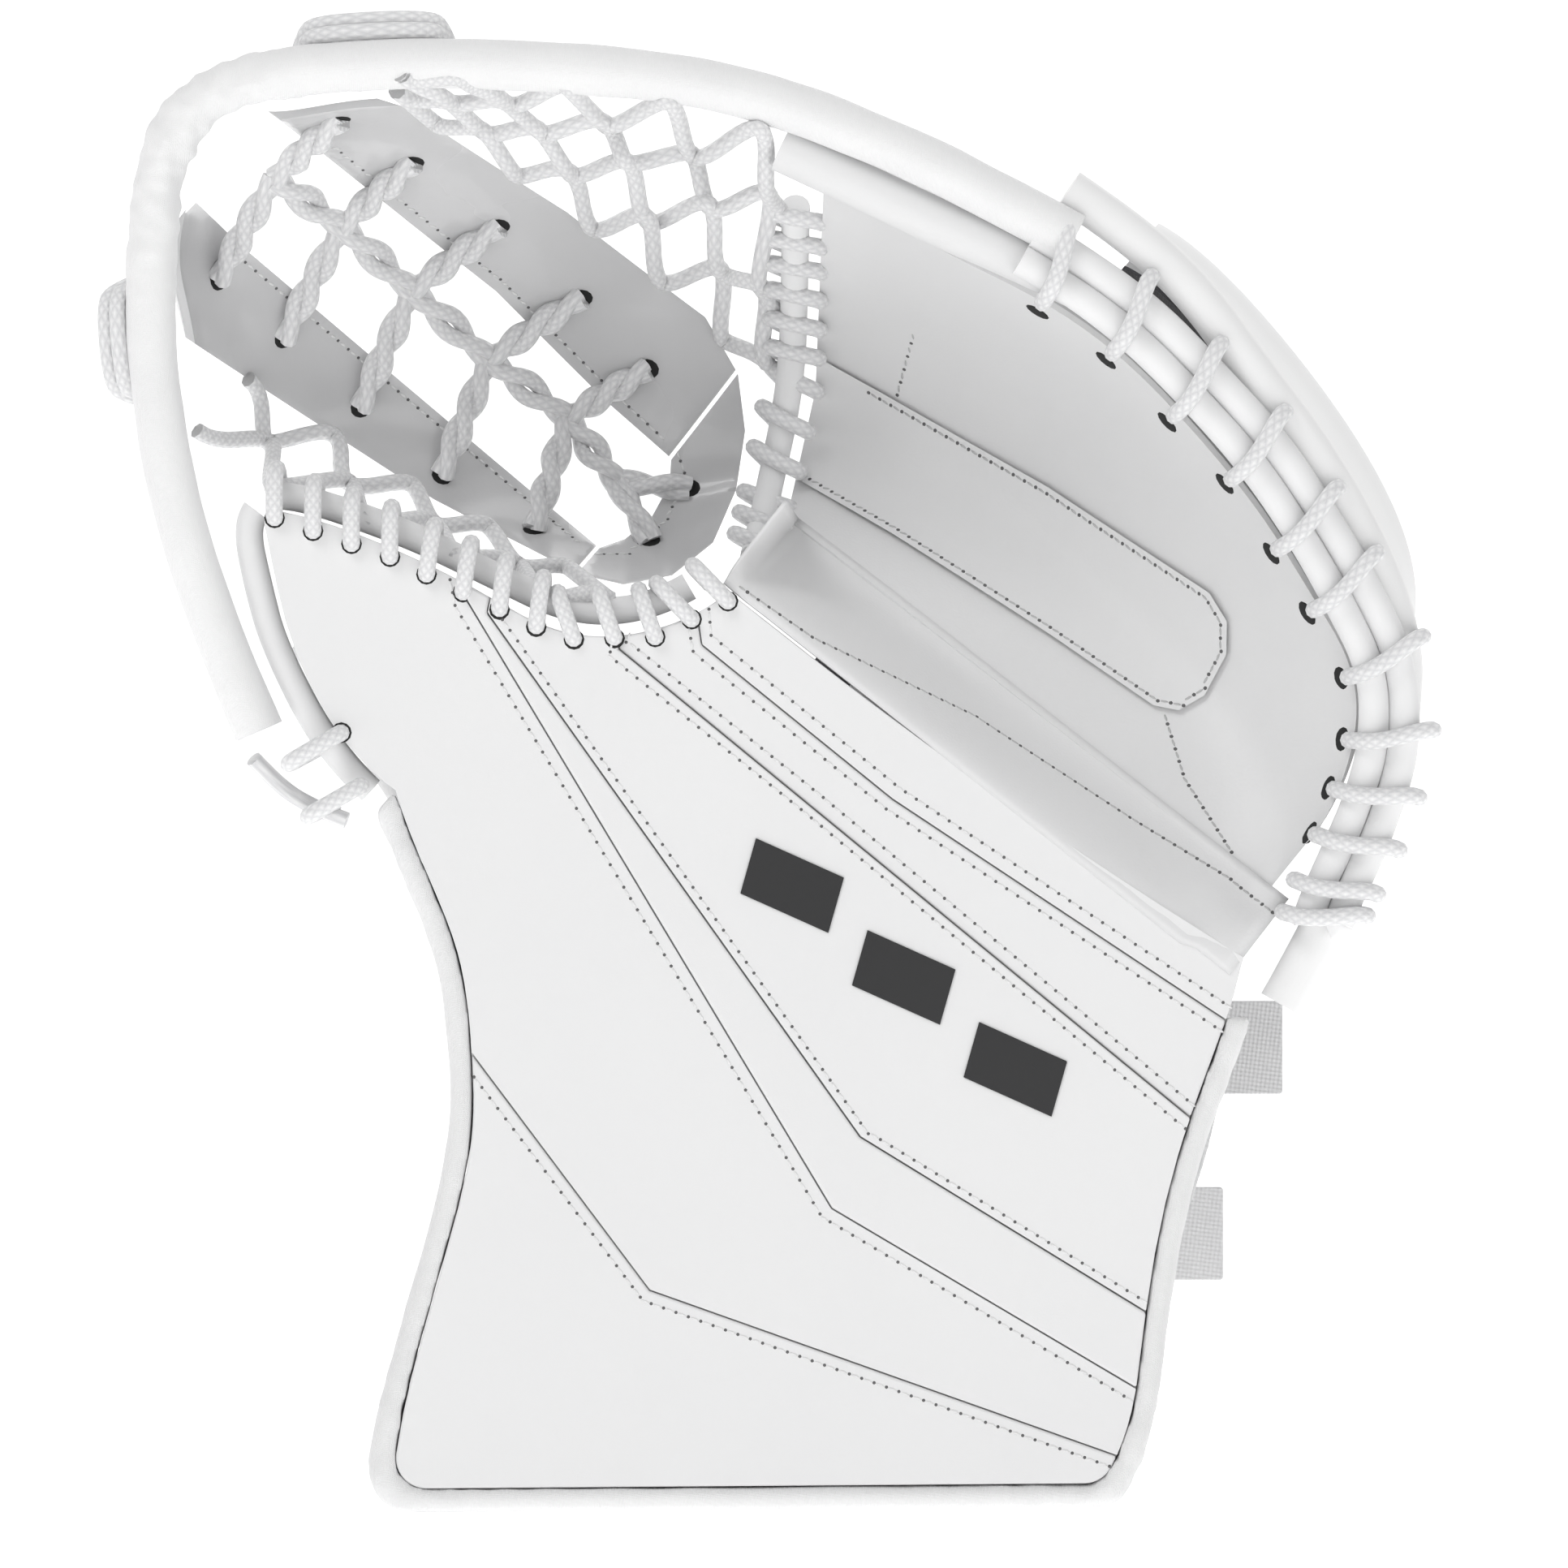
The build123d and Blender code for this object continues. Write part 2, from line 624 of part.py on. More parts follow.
inner_leg = 1.5            # inner leg of a wrap, inside its hole
wrap_reach = hole_to_roll + roll_pitch + rim_roll / 2 + lace_stand + inner_leg + lace_clearance
outer_leg_end = -2.5       # end of a wrap's outer leg, behind the rim line
rim_wraps = []
for i in range(1, len(rim_line) - 1):
    s, t = rim_line[i]
    s0, t0 = rim_line[i - 1]
    s1, t1 = rim_line[i + 1]
    run = (at(s1, t1, 0) - at(s0, t0, 0)).normalized()
    outward = FORWARD.cross(run)
    rim = rim_depth(s)
    inner_point = at(s, t, 0) - outward * inner_leg
    outer_point = inner_point + outward * wrap_reach
    top = face_y + rim - roll_depth - rim_roll / 2 - lace_stand
    corners = [
        Vector(inner_point.X, face_y + rim + 1, inner_point.Z),
        Vector(inner_point.X, top, inner_point.Z),
        Vector(outer_point.X, top, outer_point.Z),
        Vector(outer_point.X, face_y + rim + outer_leg_end, outer_point.Z),
    ]
    rim_wraps.append(tube(corners, lace))
save(rim_wraps, "rim_lace")

# ---------------------------------------------------------------- finger spaces and back of the hand
finger_low = 8.0           # share s of the little finger's outer side
finger_start = 0.36        # v where the fingers leave the palm of the hand
finger_end = 0.93
finger_pitch_s = 100 * finger_pitch / fold_length
taper_from = 0.65
taper = 0.45


def finger_top(v):
    """Height of the finger space, lower towards the finger tips."""
    drop = max(0.0, (v - taper_from) / (1 - taper_from))
    return finger_height * (1 - taper * drop)


def back_offset(base):
    """Offset of a layer behind the fingers, base being its offset over the hand."""
    return lambda v: base - finger_height + finger_top(v)


dividers = []
divider_gap = 0.5
for i in range(1, 4):
    s = finger_low + i * finger_pitch_s
    half = 100 * divider_thickness / 2 / fold_length
    dividers.append(shell(
        [s - half, s + half],
        constant(finger_offset), back_offset(finger_offset + finger_height - divider_gap),
        constant(finger_start), constant(finger_end - 0.01),
    ))
save(dividers, "finger_dividers")

back_stations = [7.0, 10.0, 13.7, 20.0, 28.0, 36.7, 40.0]
back_low = 0.12
back_lining = shell(
    back_stations,
    back_offset(back_lining_offset), back_offset(back_lining_offset + back_lining_thickness),
    constant(back_low), constant(finger_end),
)
save(back_lining, "back_lining")

pad_seam = 0.6
finger_names = ["little", "ring", "middle", "index"]
back_pad_shell = shell(
    back_stations,
    back_offset(back_pad_offset), back_offset(back_pad_offset + back_pad_thickness),
    constant(finger_start + 0.02), constant(finger_end),
)
for i, name in enumerate(finger_names):
    s0 = finger_low + i * finger_pitch_s + pad_seam / 2
    s1 = finger_low + (i + 1) * finger_pitch_s - pad_seam / 2
    slot = prism([(s0, -45), (s1, -45), (s1, 45), (s0, 45)])
    save(back_pad_shell & slot, f"back_pad_{name}")
back_pad_hand = shell(
    back_stations,
    back_offset(back_pad_offset), back_offset(back_pad_offset + back_pad_thickness),
    constant(back_low), constant(finger_start),
)
save(back_pad_hand, "back_pad_hand")

# Moulded guard round the finger tips, with a padded front rim outside the two rolls.
guard_front = 24.0         # guard's inner face outside the rim line, at the front
guard_clearance = 1.2      # guard to the finger pads behind
guard_low = 0.80
guard_rim_set_back = [(7.0, 5.0), (11.0, 2.0)]     # rim's middle behind the rim line, by share s


def guard_inner(v):
    """From the guard's gap outside the rolls to close behind the finger pads."""
    behind = back_pad_offset + back_pad_thickness - finger_height + finger_top(v) + guard_clearance
    part = min(max((v - finger_end) / (palm_edge - finger_end), 0), 1)
    return behind + (guard_front - behind) * part


guard = shell(
    back_stations,
    guard_inner, lambda v: guard_inner(v) + guard_thickness,
    constant(guard_low), constant(palm_edge), 12,
)
save(guard, "finger_guard")
guard_rim_line = [
    (46.5, 33.0), (41.1, 33.4), (35.0, 33.0), (28.6, 31.4), (19.2, 29.2), (10.9, 25.8),
    (6.4, 22.6), (4.4, 19.9), (2.4, 17.0), (0.9, 13.4), (-1.3, 4.4), (-2.2, -1.0),
]
guard_rim_route = [
    at(s, t, rim_depth(s) + between(guard_rim_set_back, s)) for s, t in guard_rim_line
]
save(tube(guard_rim_route, guard_rim), "guard_rim")

# ---------------------------------------------------------------- pocket: straps and webs
pocket_stations = [46.0, 50.0, 54.0, 58.0, 63.0, 68.0, 74.0, 80.0, 86.0, 91.0, 96.5]
pocket_edge = 0.97
pocket_block = prism(aside(palm_pocket_line, pocket_seam) + [(110, 45), (110, -40), (46, -40)])
strap_shell = shell(
    pocket_stations, constant(0), constant(strap_leather),
    constant(1 - pocket_edge), constant(pocket_edge),
) & pocket_block
strap_gap = 0.15           # percent of the fold line between the straps and their base
strap_split = 58.0
thumb_strap_outline = [
    (strap_split + strap_gap, -5.2), (92.3, -4.2), (99, -3.6), (99, -12.0), (92.7, -11.7),
    (70.0, -9.7), (strap_split + strap_gap, -7.6),
]
finger_strap_outline = [
    (strap_split + strap_gap, 2.9), (64.3, 3.2), (75.9, 4.4), (92.3, 4.2), (99, 3.8),
    (99, 7.0), (91.6, 8.8), (88.2, 10.0), (75.0, 11.6), (62.3, 12.0),
    (strap_split + strap_gap, 10.5),
]
base_outline = [
    (strap_split - strap_gap, -7.6), (54.6, -6.2), (52.2, -3.6), (51.4, 0.0), (52.6, 4.0),
    (54.8, 7.6), (strap_split - strap_gap, 10.4), (strap_split - strap_gap, 2.8),
    (56.8, 1.4), (56.3, -1.2), (56.8, -3.6), (strap_split - strap_gap, -5.2),
]
save(strap_shell & prism(thumb_strap_outline), "pocket_strap_thumb")
save(strap_shell & prism(finger_strap_outline), "pocket_strap_finger")
save(strap_shell & prism(base_outline), "pocket_strap_base")

net_offset = -(lace / 2 + 2 * lace_clearance)
knot_size = 1.1            # knot's diameter, in lace diameters


def net_point(s, t):
    v = min(max(share(s, t), 1 - pocket_edge), pocket_edge)
    return on_bowl(s, v, net_offset)


def net(segments):
    """Knotted lace: straight tubes between knots, fused, with a round knot at each end."""
    knots = {point for segment in segments for point in segment}
    pieces = [Pos(*net_point(s, t)) * Sphere(lace * knot_size / 2) for s, t in knots]
    for start, end in segments:
        pieces.append(tube([net_point(*start), net_point(*end)], lace))
    return pieces[0].fuse(*pieces[1:])


chain = [(93.1, 0.8), (87.4, 1.2), (80.7, 0.8), (73.2, 0.4), (65.9, 0.6), (60.0, -0.8)]
thumb_holes = [(92.2, -7.0), (86.0, -7.4), (78.6, -7.8), (70.7, -8.0), (62.6, -7.0)]
finger_holes = [(91.6, 6.6), (85.9, 7.6), (78.4, 8.0), (70.5, 7.8), (63.4, 6.8)]
centre_net = [(a, b) for a, b in zip(chain, chain[1:])]
base_holes = [(55.2, -2.6), (55.4, 2.0)]
for knot, thumb_hole, finger_hole in zip(chain, thumb_holes, finger_holes):
    centre_net.append((knot, thumb_hole))
    centre_net.append((knot, finger_hole))
centre_net += [(chain[-1], hole) for hole in base_holes]
save(net(centre_net), "pocket_net_centre")


def side_cords(columns, low_side, high_side, rows):
    """Zigzag cords of a diamond net between two edges; they all but touch where knots are."""
    cords = []
    for j in range(rows):
        route = []
        for i, s in enumerate(columns):
            v0 = low_side(s)
            v1 = high_side(s)
            height = (on_bowl(s, v1, 0) - on_bowl(s, v0, 0)).length / rows
            margin = (lace + lace_clearance) / 2 / height
            part = margin if (i + j) % 2 else 1 - margin
            route.append(on_bowl(s, v0 + (v1 - v0) * (j + part) / rows, net_offset))
        cords.append(tube(route, lace))
    return cords


net_margin = 0.06          # share of the bowl's width that a net stays off the edge it hangs on
finger_strap_edge = [(62.3, 12.0), (75.0, 11.6), (88.2, 10.0), (91.6, 8.8)]
thumb_strap_edge = [(58.0, -7.6), (70.0, -9.7), (85.0, -11.0)]
finger_net = side_cords(
    [65.0, 69.0, 73.0, 77.0, 81.0, 85.0],
    lambda s: share(s, between(finger_strap_edge, s)) + net_margin / 2,
    lambda s: 1 - net_margin / 2,
    3,
)
save(finger_net, "pocket_net_finger")
thumb_net = side_cords(
    [57.5, 61.0, 65.0, 69.0, 73.0, 77.0, 81.0, 85.0],
    lambda s: 1 - pocket_edge,
    lambda s: share(s, between(thumb_strap_edge, s)),
    2,
)
save(thumb_net, "pocket_net_thumb")

# Lace wraps that hold the straps' top ends to the bead, on either side of its corner.
wrap_ring = bead + lace + 2 * lace_clearance
wrap_pitch = 1.5 * lace    # from one wrap to the next along the bead
# Each entry holds the bead's route and the run of it that carries the wraps.
bead_wraps = {
    "bead_lace_thumb": (bead_thumb, 4),
    "bead_lace_finger": (bead_finger, 1),
}
for name, (route, i) in bead_wraps.items():
    run = (route[i + 1] - route[i]).normalized()
    wraps = []
    middle = (route[i] + route[i + 1]) / 2
    for step in (-0.5, 0.5):
        centre = middle + run * (step * wrap_pitch)
        ring = Torus(wrap_ring / 2, lace / 2)
        wraps.append(Plane(origin=centre, z_dir=run) * ring)
    save(wraps, name)

# ---------------------------------------------------------------- wrist closure
wrist_pad_depth = inner_pad_depth + inner_pad_thickness + wrist_room
wrist_pad = upright_plate(
    wrist_x, wrist_z, wrist_pad_width, wrist_pad_height, wrist_pad_round,
    wrist_pad_depth, wrist_pad_thickness,
)
save(wrist_pad, "wrist_pad")

wrist_back = wrist_pad_depth + wrist_pad_thickness
pad_left = wrist_x - wrist_pad_width / 2
pad_right = wrist_x + wrist_pad_width / 2
anchor_length = 16.0
anchor_thickness = 3.0
anchor_round = 2.0
strap_overhang = [20.0, 36.0]       # lower and upper strap ends past the wrist pad
strap_height = [-17.0, 33.0]        # lower and upper strap above the wrist pad's middle
strap_z = [wrist_z + height for height in strap_height]
strap_names = ["lower", "upper"]
patch_length = 30.0
patch_end = 4.0            # loop patch to the wrist pad's edge
patch_inset = 2.0          # loop patch inside the strap's edges, hook patch inside the loop's
running_gap = 0.4
strap_round = 1.0
tab_length = 18.0
tab_inset = 4.0
tab_round = 8.0
anchors = []
for name, z, overhang in zip(strap_names, strap_z, strap_overhang):
    anchors.append(upright_plate(
        pad_left + anchor_length / 2, z, anchor_length, webbing_width, anchor_round,
        wrist_back + layer_gap, anchor_thickness,
    ))
    loop_depth = wrist_back + layer_gap
    loop_x = pad_right - patch_length / 2 - patch_end
    loop_width = webbing_width - 2 * patch_inset
    save(
        upright_plate(
            loop_x, z, patch_length, loop_width, anchor_round, loop_depth, patch_thickness,
        ),
        f"loop_patch_{name}",
    )
    hook_depth = loop_depth + patch_thickness + running_gap
    save(
        upright_plate(
            loop_x, z, patch_length - 2 * patch_inset, loop_width - patch_inset,
            anchor_round, hook_depth, patch_thickness,
        ),
        f"hook_patch_{name}",
    )
    strap_depth = hook_depth + patch_thickness + layer_gap
    strap_start = pad_left + anchor_length + running_gap
    strap_end = pad_right + overhang
    strap = upright_plate(
        (strap_start + strap_end) / 2, z, strap_end - strap_start, webbing_width, strap_round,
        strap_depth, webbing_thickness,
    )
    tab = upright_plate(
        strap_end - tab_length / 2, z, tab_length, webbing_width - 2 * tab_inset, tab_round,
        strap_depth + webbing_thickness + layer_gap, patch_thickness,
    )
    save(strap, f"wrist_strap_{name}")
    save(tab, f"pull_tab_{name}")
save(anchors, "strap_anchors")

# Mesh gusset on the little finger side, from the cuff's edge back to the wrist pad.
gusset_front = cuff_depth + 2.0
gusset_back = wrist_pad_depth - 2.0
gusset_top = [(-1.5, -5.5, gusset_front), (-1.5, -12.0, gusset_back)]
gusset_low = [(-11.0, -26.5, gusset_front), (-8.0, -30.0, gusset_back)]


def gusset_section(ends):
    (s0, t0, d0), (s1, t1, d1) = ends
    front = at(s0, t0, d0)
    back = at(s1, t1, d1)
    aside_step = (back - front).normalized().cross(Vector(0, 0, 1)) * gusset_thickness
    corners = [front, back, back + aside_step, front + aside_step]
    return Polyline(*corners, close=True).edges()


gusset = Solid.make_loft([Wire(gusset_section(gusset_low)), Wire(gusset_section(gusset_top))], True)
save(gusset, "wrist_gusset")

# Short free end of the perimeter lace, cut square, behind the thumb's outer side.
# Its route is hand laid: four points, each with its own depth behind the cuff's back.
tail_route = [
    at(59.5, -30.6, cuff_depth + 4), at(62.3, -31.4, cuff_depth + 5),
    at(65.0, -31.6, cuff_depth + 2.5), at(67.6, -31.2, cuff_depth - 2),
]
tail = tube(tail_route, lace)
print("lace tail radii", [round(r, 1) for r in route_radii(tail_route)])
print("lace tail length", round(tail.volume / (math.pi * lace ** 2 / 4), 1))
save(tail, "lace_tail")
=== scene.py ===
import bmesh
import bpy
import json
import math
import random
from mathutils import Matrix, Vector, kdtree, noise
from mathutils.bvhtree import BVHTree


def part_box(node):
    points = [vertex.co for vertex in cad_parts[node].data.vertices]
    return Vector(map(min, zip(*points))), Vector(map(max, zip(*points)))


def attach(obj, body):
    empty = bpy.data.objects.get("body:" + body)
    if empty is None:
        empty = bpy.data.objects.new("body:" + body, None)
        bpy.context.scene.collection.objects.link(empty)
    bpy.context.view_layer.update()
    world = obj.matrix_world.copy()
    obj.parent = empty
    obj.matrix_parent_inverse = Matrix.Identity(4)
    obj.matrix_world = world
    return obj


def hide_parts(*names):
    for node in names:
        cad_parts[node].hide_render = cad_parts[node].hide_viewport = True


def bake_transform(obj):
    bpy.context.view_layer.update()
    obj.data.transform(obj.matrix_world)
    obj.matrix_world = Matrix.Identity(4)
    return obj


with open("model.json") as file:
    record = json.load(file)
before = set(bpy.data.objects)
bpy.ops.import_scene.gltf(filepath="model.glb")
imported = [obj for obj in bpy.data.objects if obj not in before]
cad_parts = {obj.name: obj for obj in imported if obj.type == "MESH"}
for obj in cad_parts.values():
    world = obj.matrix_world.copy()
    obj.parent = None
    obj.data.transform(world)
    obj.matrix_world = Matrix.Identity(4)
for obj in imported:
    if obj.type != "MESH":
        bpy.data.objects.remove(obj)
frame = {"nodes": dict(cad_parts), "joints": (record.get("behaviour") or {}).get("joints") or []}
bpy.context.view_layer.update()
mm = 0.001

# ------------------------------------------------------------ view, lamps and floor
# The glove stands with its palm to the viewer on a pale floor that sweeps up behind it,
# under large soft studio lamps.
fold = next(joint for joint in frame["joints"] if joint["name"] == "glove_fold")
along = Vector(fold["axis"])
across = Vector((along.z, 0, -along.x))
back = Vector((0, 1, 0))
face_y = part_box("face_panel_heel")[0].y
heel = Vector((fold["pos_m"][0], face_y, fold["pos_m"][2]))
fold_length = 356 * mm      # from the heel of the palm to the pocket's corner
fold_width = 382 * mm       # across the fold, from the cuff's far side to the finger rim


def at(s, t, d=0.0):
    """Point at percent s along the fold, percent t across it and d millimetres behind the face."""
    return heel + along * (fold_length * s / 100) + across * (fold_width * t / 100) + back * (d * mm)


view_middle = Vector((-30 * mm, face_y, 129.8 * mm))
view_width = 405.7 * mm     # width of the view at the face of the glove
view_distance = 2.6
camera_data = bpy.data.cameras.new("camera")
camera_data.sensor_width = 36
camera_data.lens = camera_data.sensor_width * view_distance / view_width
camera = bpy.data.objects.new("camera", camera_data)
camera.location = view_middle - back * view_distance
camera.rotation_euler = (math.radians(90), 0, 0)
bpy.context.scene.collection.objects.link(camera)
bpy.context.scene.camera = camera
bpy.context.scene.view_settings.view_transform = "Standard"


def lamp(name, place, size, watts):
    """Square soft lamp that faces the middle of the glove."""
    data = bpy.data.lights.new(name, "AREA")
    data.size = size
    data.energy = watts
    obj = bpy.data.objects.new(name, data)
    obj.location = place
    obj.rotation_euler = (view_middle - Vector(place)).to_track_quat("-Z", "Y").to_euler()
    bpy.context.scene.collection.objects.link(obj)


lamp("key_lamp", (-0.9, -1.3, 1.7), 0.8, 12)
lamp("fill_lamp", (1.4, -1.4, 0.6), 1.4, 3.5)
lamp("top_lamp", (0.1, 0.1, 1.7), 1.0, 4.5)
lamp("rear_lamp", (0.4, 1.9, 1.2), 1.4, 2.6)
world = bpy.data.worlds.new("studio")
world.use_nodes = True
world.node_tree.nodes["Background"].inputs["Color"].default_value = (1, 1, 1, 1)
world.node_tree.nodes["Background"].inputs["Strength"].default_value = 0.43
bpy.context.scene.world = world

floor_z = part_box("cuff_binding")[0].z
floor_half_width = 6
floor_length = 10
floor_rear = 2.6
sweep_radius = 1.2
wall_height = 5
bm = bmesh.new()
edge = bm.edges.new([bm.verts.new((side * floor_half_width, floor_rear, floor_z)) for side in (-1, 1)])
front = bmesh.ops.extrude_edge_only(bm, edges=[edge])["geom"]
front_verts = [v for v in front if isinstance(v, bmesh.types.BMVert)]
bmesh.ops.translate(bm, verts=front_verts, vec=(0, -floor_length, 0))
swept = bmesh.ops.spin(
    bm, geom=[edge], cent=(0, floor_rear, floor_z + sweep_radius), axis=(1, 0, 0), angle=math.radians(90),
    steps=16,
)["geom_last"]
wall = bmesh.ops.extrude_edge_only(bm, edges=[e for e in swept if isinstance(e, bmesh.types.BMEdge)])
wall_verts = [v for v in wall["geom"] if isinstance(v, bmesh.types.BMVert)]
bmesh.ops.translate(bm, verts=wall_verts, vec=(0, 0, wall_height))
bmesh.ops.recalc_face_normals(bm, faces=bm.faces)
sweep_mesh = bpy.data.meshes.new("floor")
bm.to_mesh(sweep_mesh)
bm.free()
sweep_mesh.shade_smooth()
floor = bpy.data.objects.new("floor", sweep_mesh)
bpy.context.scene.collection.objects.link(floor)
floor_paint = bpy.data.materials.new("floor_paint")
floor_paint.use_nodes = True
floor_shader = floor_paint.node_tree.nodes["Principled BSDF"]
floor_shader.inputs["Base Color"].default_value = (0.93, 0.93, 0.93, 1)
floor_shader.inputs["Roughness"].default_value = 0.9
floor_shader.inputs["Emission Color"].default_value = (1, 1, 1, 1)
floor_shader.inputs["Emission Strength"].default_value = 0.62
sweep_mesh.materials.append(floor_paint)


# ------------------------------------------------------------ lace and its free tail
# Round braided nylon lace runs through every edge of the glove.  Its short free end, cut
# square, leaves the last hole on the thumb's outer side.
def group(name, inputs, outputs):
    """Empty node group with named sockets."""
    tree = bpy.data.node_groups.new(name, "ShaderNodeTree")
    for label, kind, value in inputs:
        socket = tree.interface.new_socket(label, in_out="INPUT", socket_type="NodeSocket" + kind)
        if value is not None:
            socket.default_value = value
    for label, kind in outputs:
        tree.interface.new_socket(label, in_out="OUTPUT", socket_type="NodeSocket" + kind)
    return tree, tree.nodes.new("NodeGroupInput"), tree.nodes.new("NodeGroupOutput")


def node(tree, kind, sockets=None, **settings):
    """New shader node, with its settings, and its sockets linked or set."""
    made = tree.nodes.new("ShaderNode" + kind)
    for key, value in settings.items():
        setattr(made, key, value)
    for key, value in (sockets or {}).items():
        if isinstance(value, bpy.types.NodeSocket):
            tree.links.new(value, made.inputs[key])
        else:
            made.inputs[key].default_value = value
    return made


def maths(tree, operation, first, second=0.0, third=0.0):
    """Output of a new maths node."""
    return node(tree, "Math", {0: first, 1: second, 2: third}, operation=operation).outputs[0]


crossings = 1.1             # strands crossed over each lace width along
braid, braid_in, braid_out = group(
    "braid", [("Vector", "Vector", None), ("Strands", "Float", 6.0)],
    [("Height", "Float"), ("Gap_Shade", "Float")],
)
split = node(braid, "SeparateXYZ", {0: braid_in.outputs["Vector"]})
turn = maths(braid, "MULTIPLY", split.outputs[1], braid_in.outputs["Strands"])
rise = maths(braid, "MULTIPLY", split.outputs[0], crossings)
ridges = []
for hand_of_twist in ("ADD", "SUBTRACT"):
    phase = maths(braid, hand_of_twist, rise, turn)
    ridges.append(maths(braid, "PINGPONG", phase, 0.5))
higher = maths(braid, "MAXIMUM", ridges[0], ridges[1])
lower = maths(braid, "MINIMUM", ridges[0], ridges[1])
# The braid's gap output is high between the strands; the lace colour is darkened there as painted shade.
gap_shade = maths(braid, "SUBTRACT", 1.0, maths(braid, "MULTIPLY", lower, 2.0))
braid.links.new(higher, braid_out.inputs["Height"])
braid.links.new(gap_shade, braid_out.inputs["Gap_Shade"])


def finish(name, colour, roughness, specular=0.5, sheen=0.0, coat=0.0):
    """Material with its constants on the shader's own sockets."""
    made = bpy.data.materials.new(name)
    made.use_nodes = True
    shader = made.node_tree.nodes["Principled BSDF"]
    shader.inputs["Base Color"].default_value = (*colour, 1)
    shader.inputs["Roughness"].default_value = roughness
    shader.inputs["Specular IOR Level"].default_value = specular
    shader.inputs["Sheen Weight"].default_value = sheen
    shader.inputs["Coat Weight"].default_value = coat
    return made, made.node_tree, shader


def bump(tree, shader, height, strength, distance):
    """Relief of the surface from a height."""
    made = node(tree, "Bump", {"Height": height, "Strength": strength, "Distance": distance})
    tree.links.new(made.outputs[0], shader.inputs["Normal"])


def tone(tree, shader, mask, low, high):
    """Base colour between two colours by a mask."""
    mix = node(tree, "Mix", {"Factor": mask}, data_type="RGBA")
    mix.inputs["A"].default_value = (*low, 1)
    mix.inputs["B"].default_value = (*high, 1)
    tree.links.new(mix.outputs["Result"], shader.inputs["Base Color"])


lace_white, tree, shader = finish("lace_white", (0.84, 0.84, 0.84), 0.55, 0.4, 0.25)
braided = node(tree, "Group", node_tree=braid)
tree.links.new(node(tree, "TexCoord").outputs["UV"], braided.inputs["Vector"])
bump(tree, shader, braided.outputs["Height"], 0.8, 0.5 * mm)
# The lace is painted darker between its strands: painted shade, beside the braid's bump.
tone(tree, shader, braided.outputs["Gap_Shade"], (0.86, 0.86, 0.86), (0.66, 0.66, 0.67))

lace = 4.5 * mm
tail_route = [at(59.5, -30.6, 20.4), at(62.3, -31.4, 21.4), at(65.0, -31.6, 18.9), at(67.6, -31.2, 14.4)]


def lace_curve(name, points, width=lace, order=3, radii=None, steps=6, sides=3):
    """Curve with a round section along the points."""
    data = bpy.data.curves.new(name, "CURVE")
    data.dimensions = "3D"
    line = data.splines.new("NURBS")
    line.points.add(len(points) - 1)
    for i, point in enumerate(points):
        line.points[i].co = (*point, 1)
        line.points[i].radius = radii[i] if radii else 1
    line.order_u = order
    line.use_endpoint_u = True
    line.resolution_u = steps
    data.resolution_u = steps
    data.bevel_depth = width / 2
    data.bevel_resolution = sides
    data.use_fill_caps = True
    return data


tail_data = lace_curve("lace_tail_cord", tail_route)
lace_tail = bpy.data.objects.new("lace_tail_cord", tail_data)
bpy.context.scene.collection.objects.link(lace_tail)
tail_data.materials.append(lace_white)
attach(lace_tail, "thumb_cuff")
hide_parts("lace_tail")
tuple(tail_route[0])


def run(points, width=lace, **how):
    """Mesh of one lace run; its UV counts lace widths along it and turns round it."""
    data = lace_curve("run", points, width, **how)
    holder = bpy.data.objects.new("run", data)
    mesh = bpy.data.meshes.new_from_object(holder)
    length = sum((b - a).length for a, b in zip(points, points[1:]))
    for item in mesh.uv_layers[0].data:
        item.uv = (item.uv.x * length / width, item.uv.y)
    bpy.data.objects.remove(holder)
    bpy.data.curves.remove(data)
    return mesh


def gather(meshes):
    """One bmesh from several meshes."""
    bm = bmesh.new()
    for mesh in meshes:
        bm.from_mesh(mesh)
        bpy.data.meshes.remove(mesh)
    return bm


def piece(name, bm, materials, slot, body=None, replaced=()):
    """Finished piece from a bmesh, with its materials, body and the nodes it stands for; slot is not used."""
    mesh = bpy.data.meshes.new(name)
    bm.to_mesh(mesh)
    bm.free()
    for material in materials:
        mesh.materials.append(material)
    mesh.shade_smooth()
    made = bpy.data.objects.new(name, mesh)
    bpy.context.scene.collection.objects.link(made)
    if body:
        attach(made, body)
    if replaced:
        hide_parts(*replaced)
    return made


# ------------------------------------------------------------ cores inside the cuff and palm
# Closed cell foam, stiff plastic boards and a dark brushed lining are stacked behind the
# leather and glued at their edges.
def dress(names, material):
    """The CAD nodes take a finish."""
    for name in names:
        frame["nodes"][name].material_slots[0].material = material


grain, grain_in, grain_out = group(
    "grain", [("Vector", "Vector", None), ("Pebble", "Float", 900.0), ("Cloud", "Float", 14.0)],
    [("Height", "Float"), ("Cloud", "Float")],
)
hide = grain_in.outputs["Vector"]
pebble_scale = grain_in.outputs["Pebble"]
pebble_share = 0.6
pebble = node(grain, "TexVoronoi", {"Vector": hide, "Scale": pebble_scale})
fine = node(grain, "TexNoise", {"Vector": hide, "Scale": pebble_scale, "Detail": 3.0})
cloud = node(grain, "TexNoise", {"Vector": hide, "Scale": grain_in.outputs["Cloud"], "Detail": 3.0})
relief = maths(grain, "MULTIPLY_ADD", pebble.outputs[0], pebble_share, fine.outputs[0])
grain.links.new(relief, grain_out.inputs["Height"])
grain.links.new(cloud.outputs[0], grain_out.inputs["Cloud"])


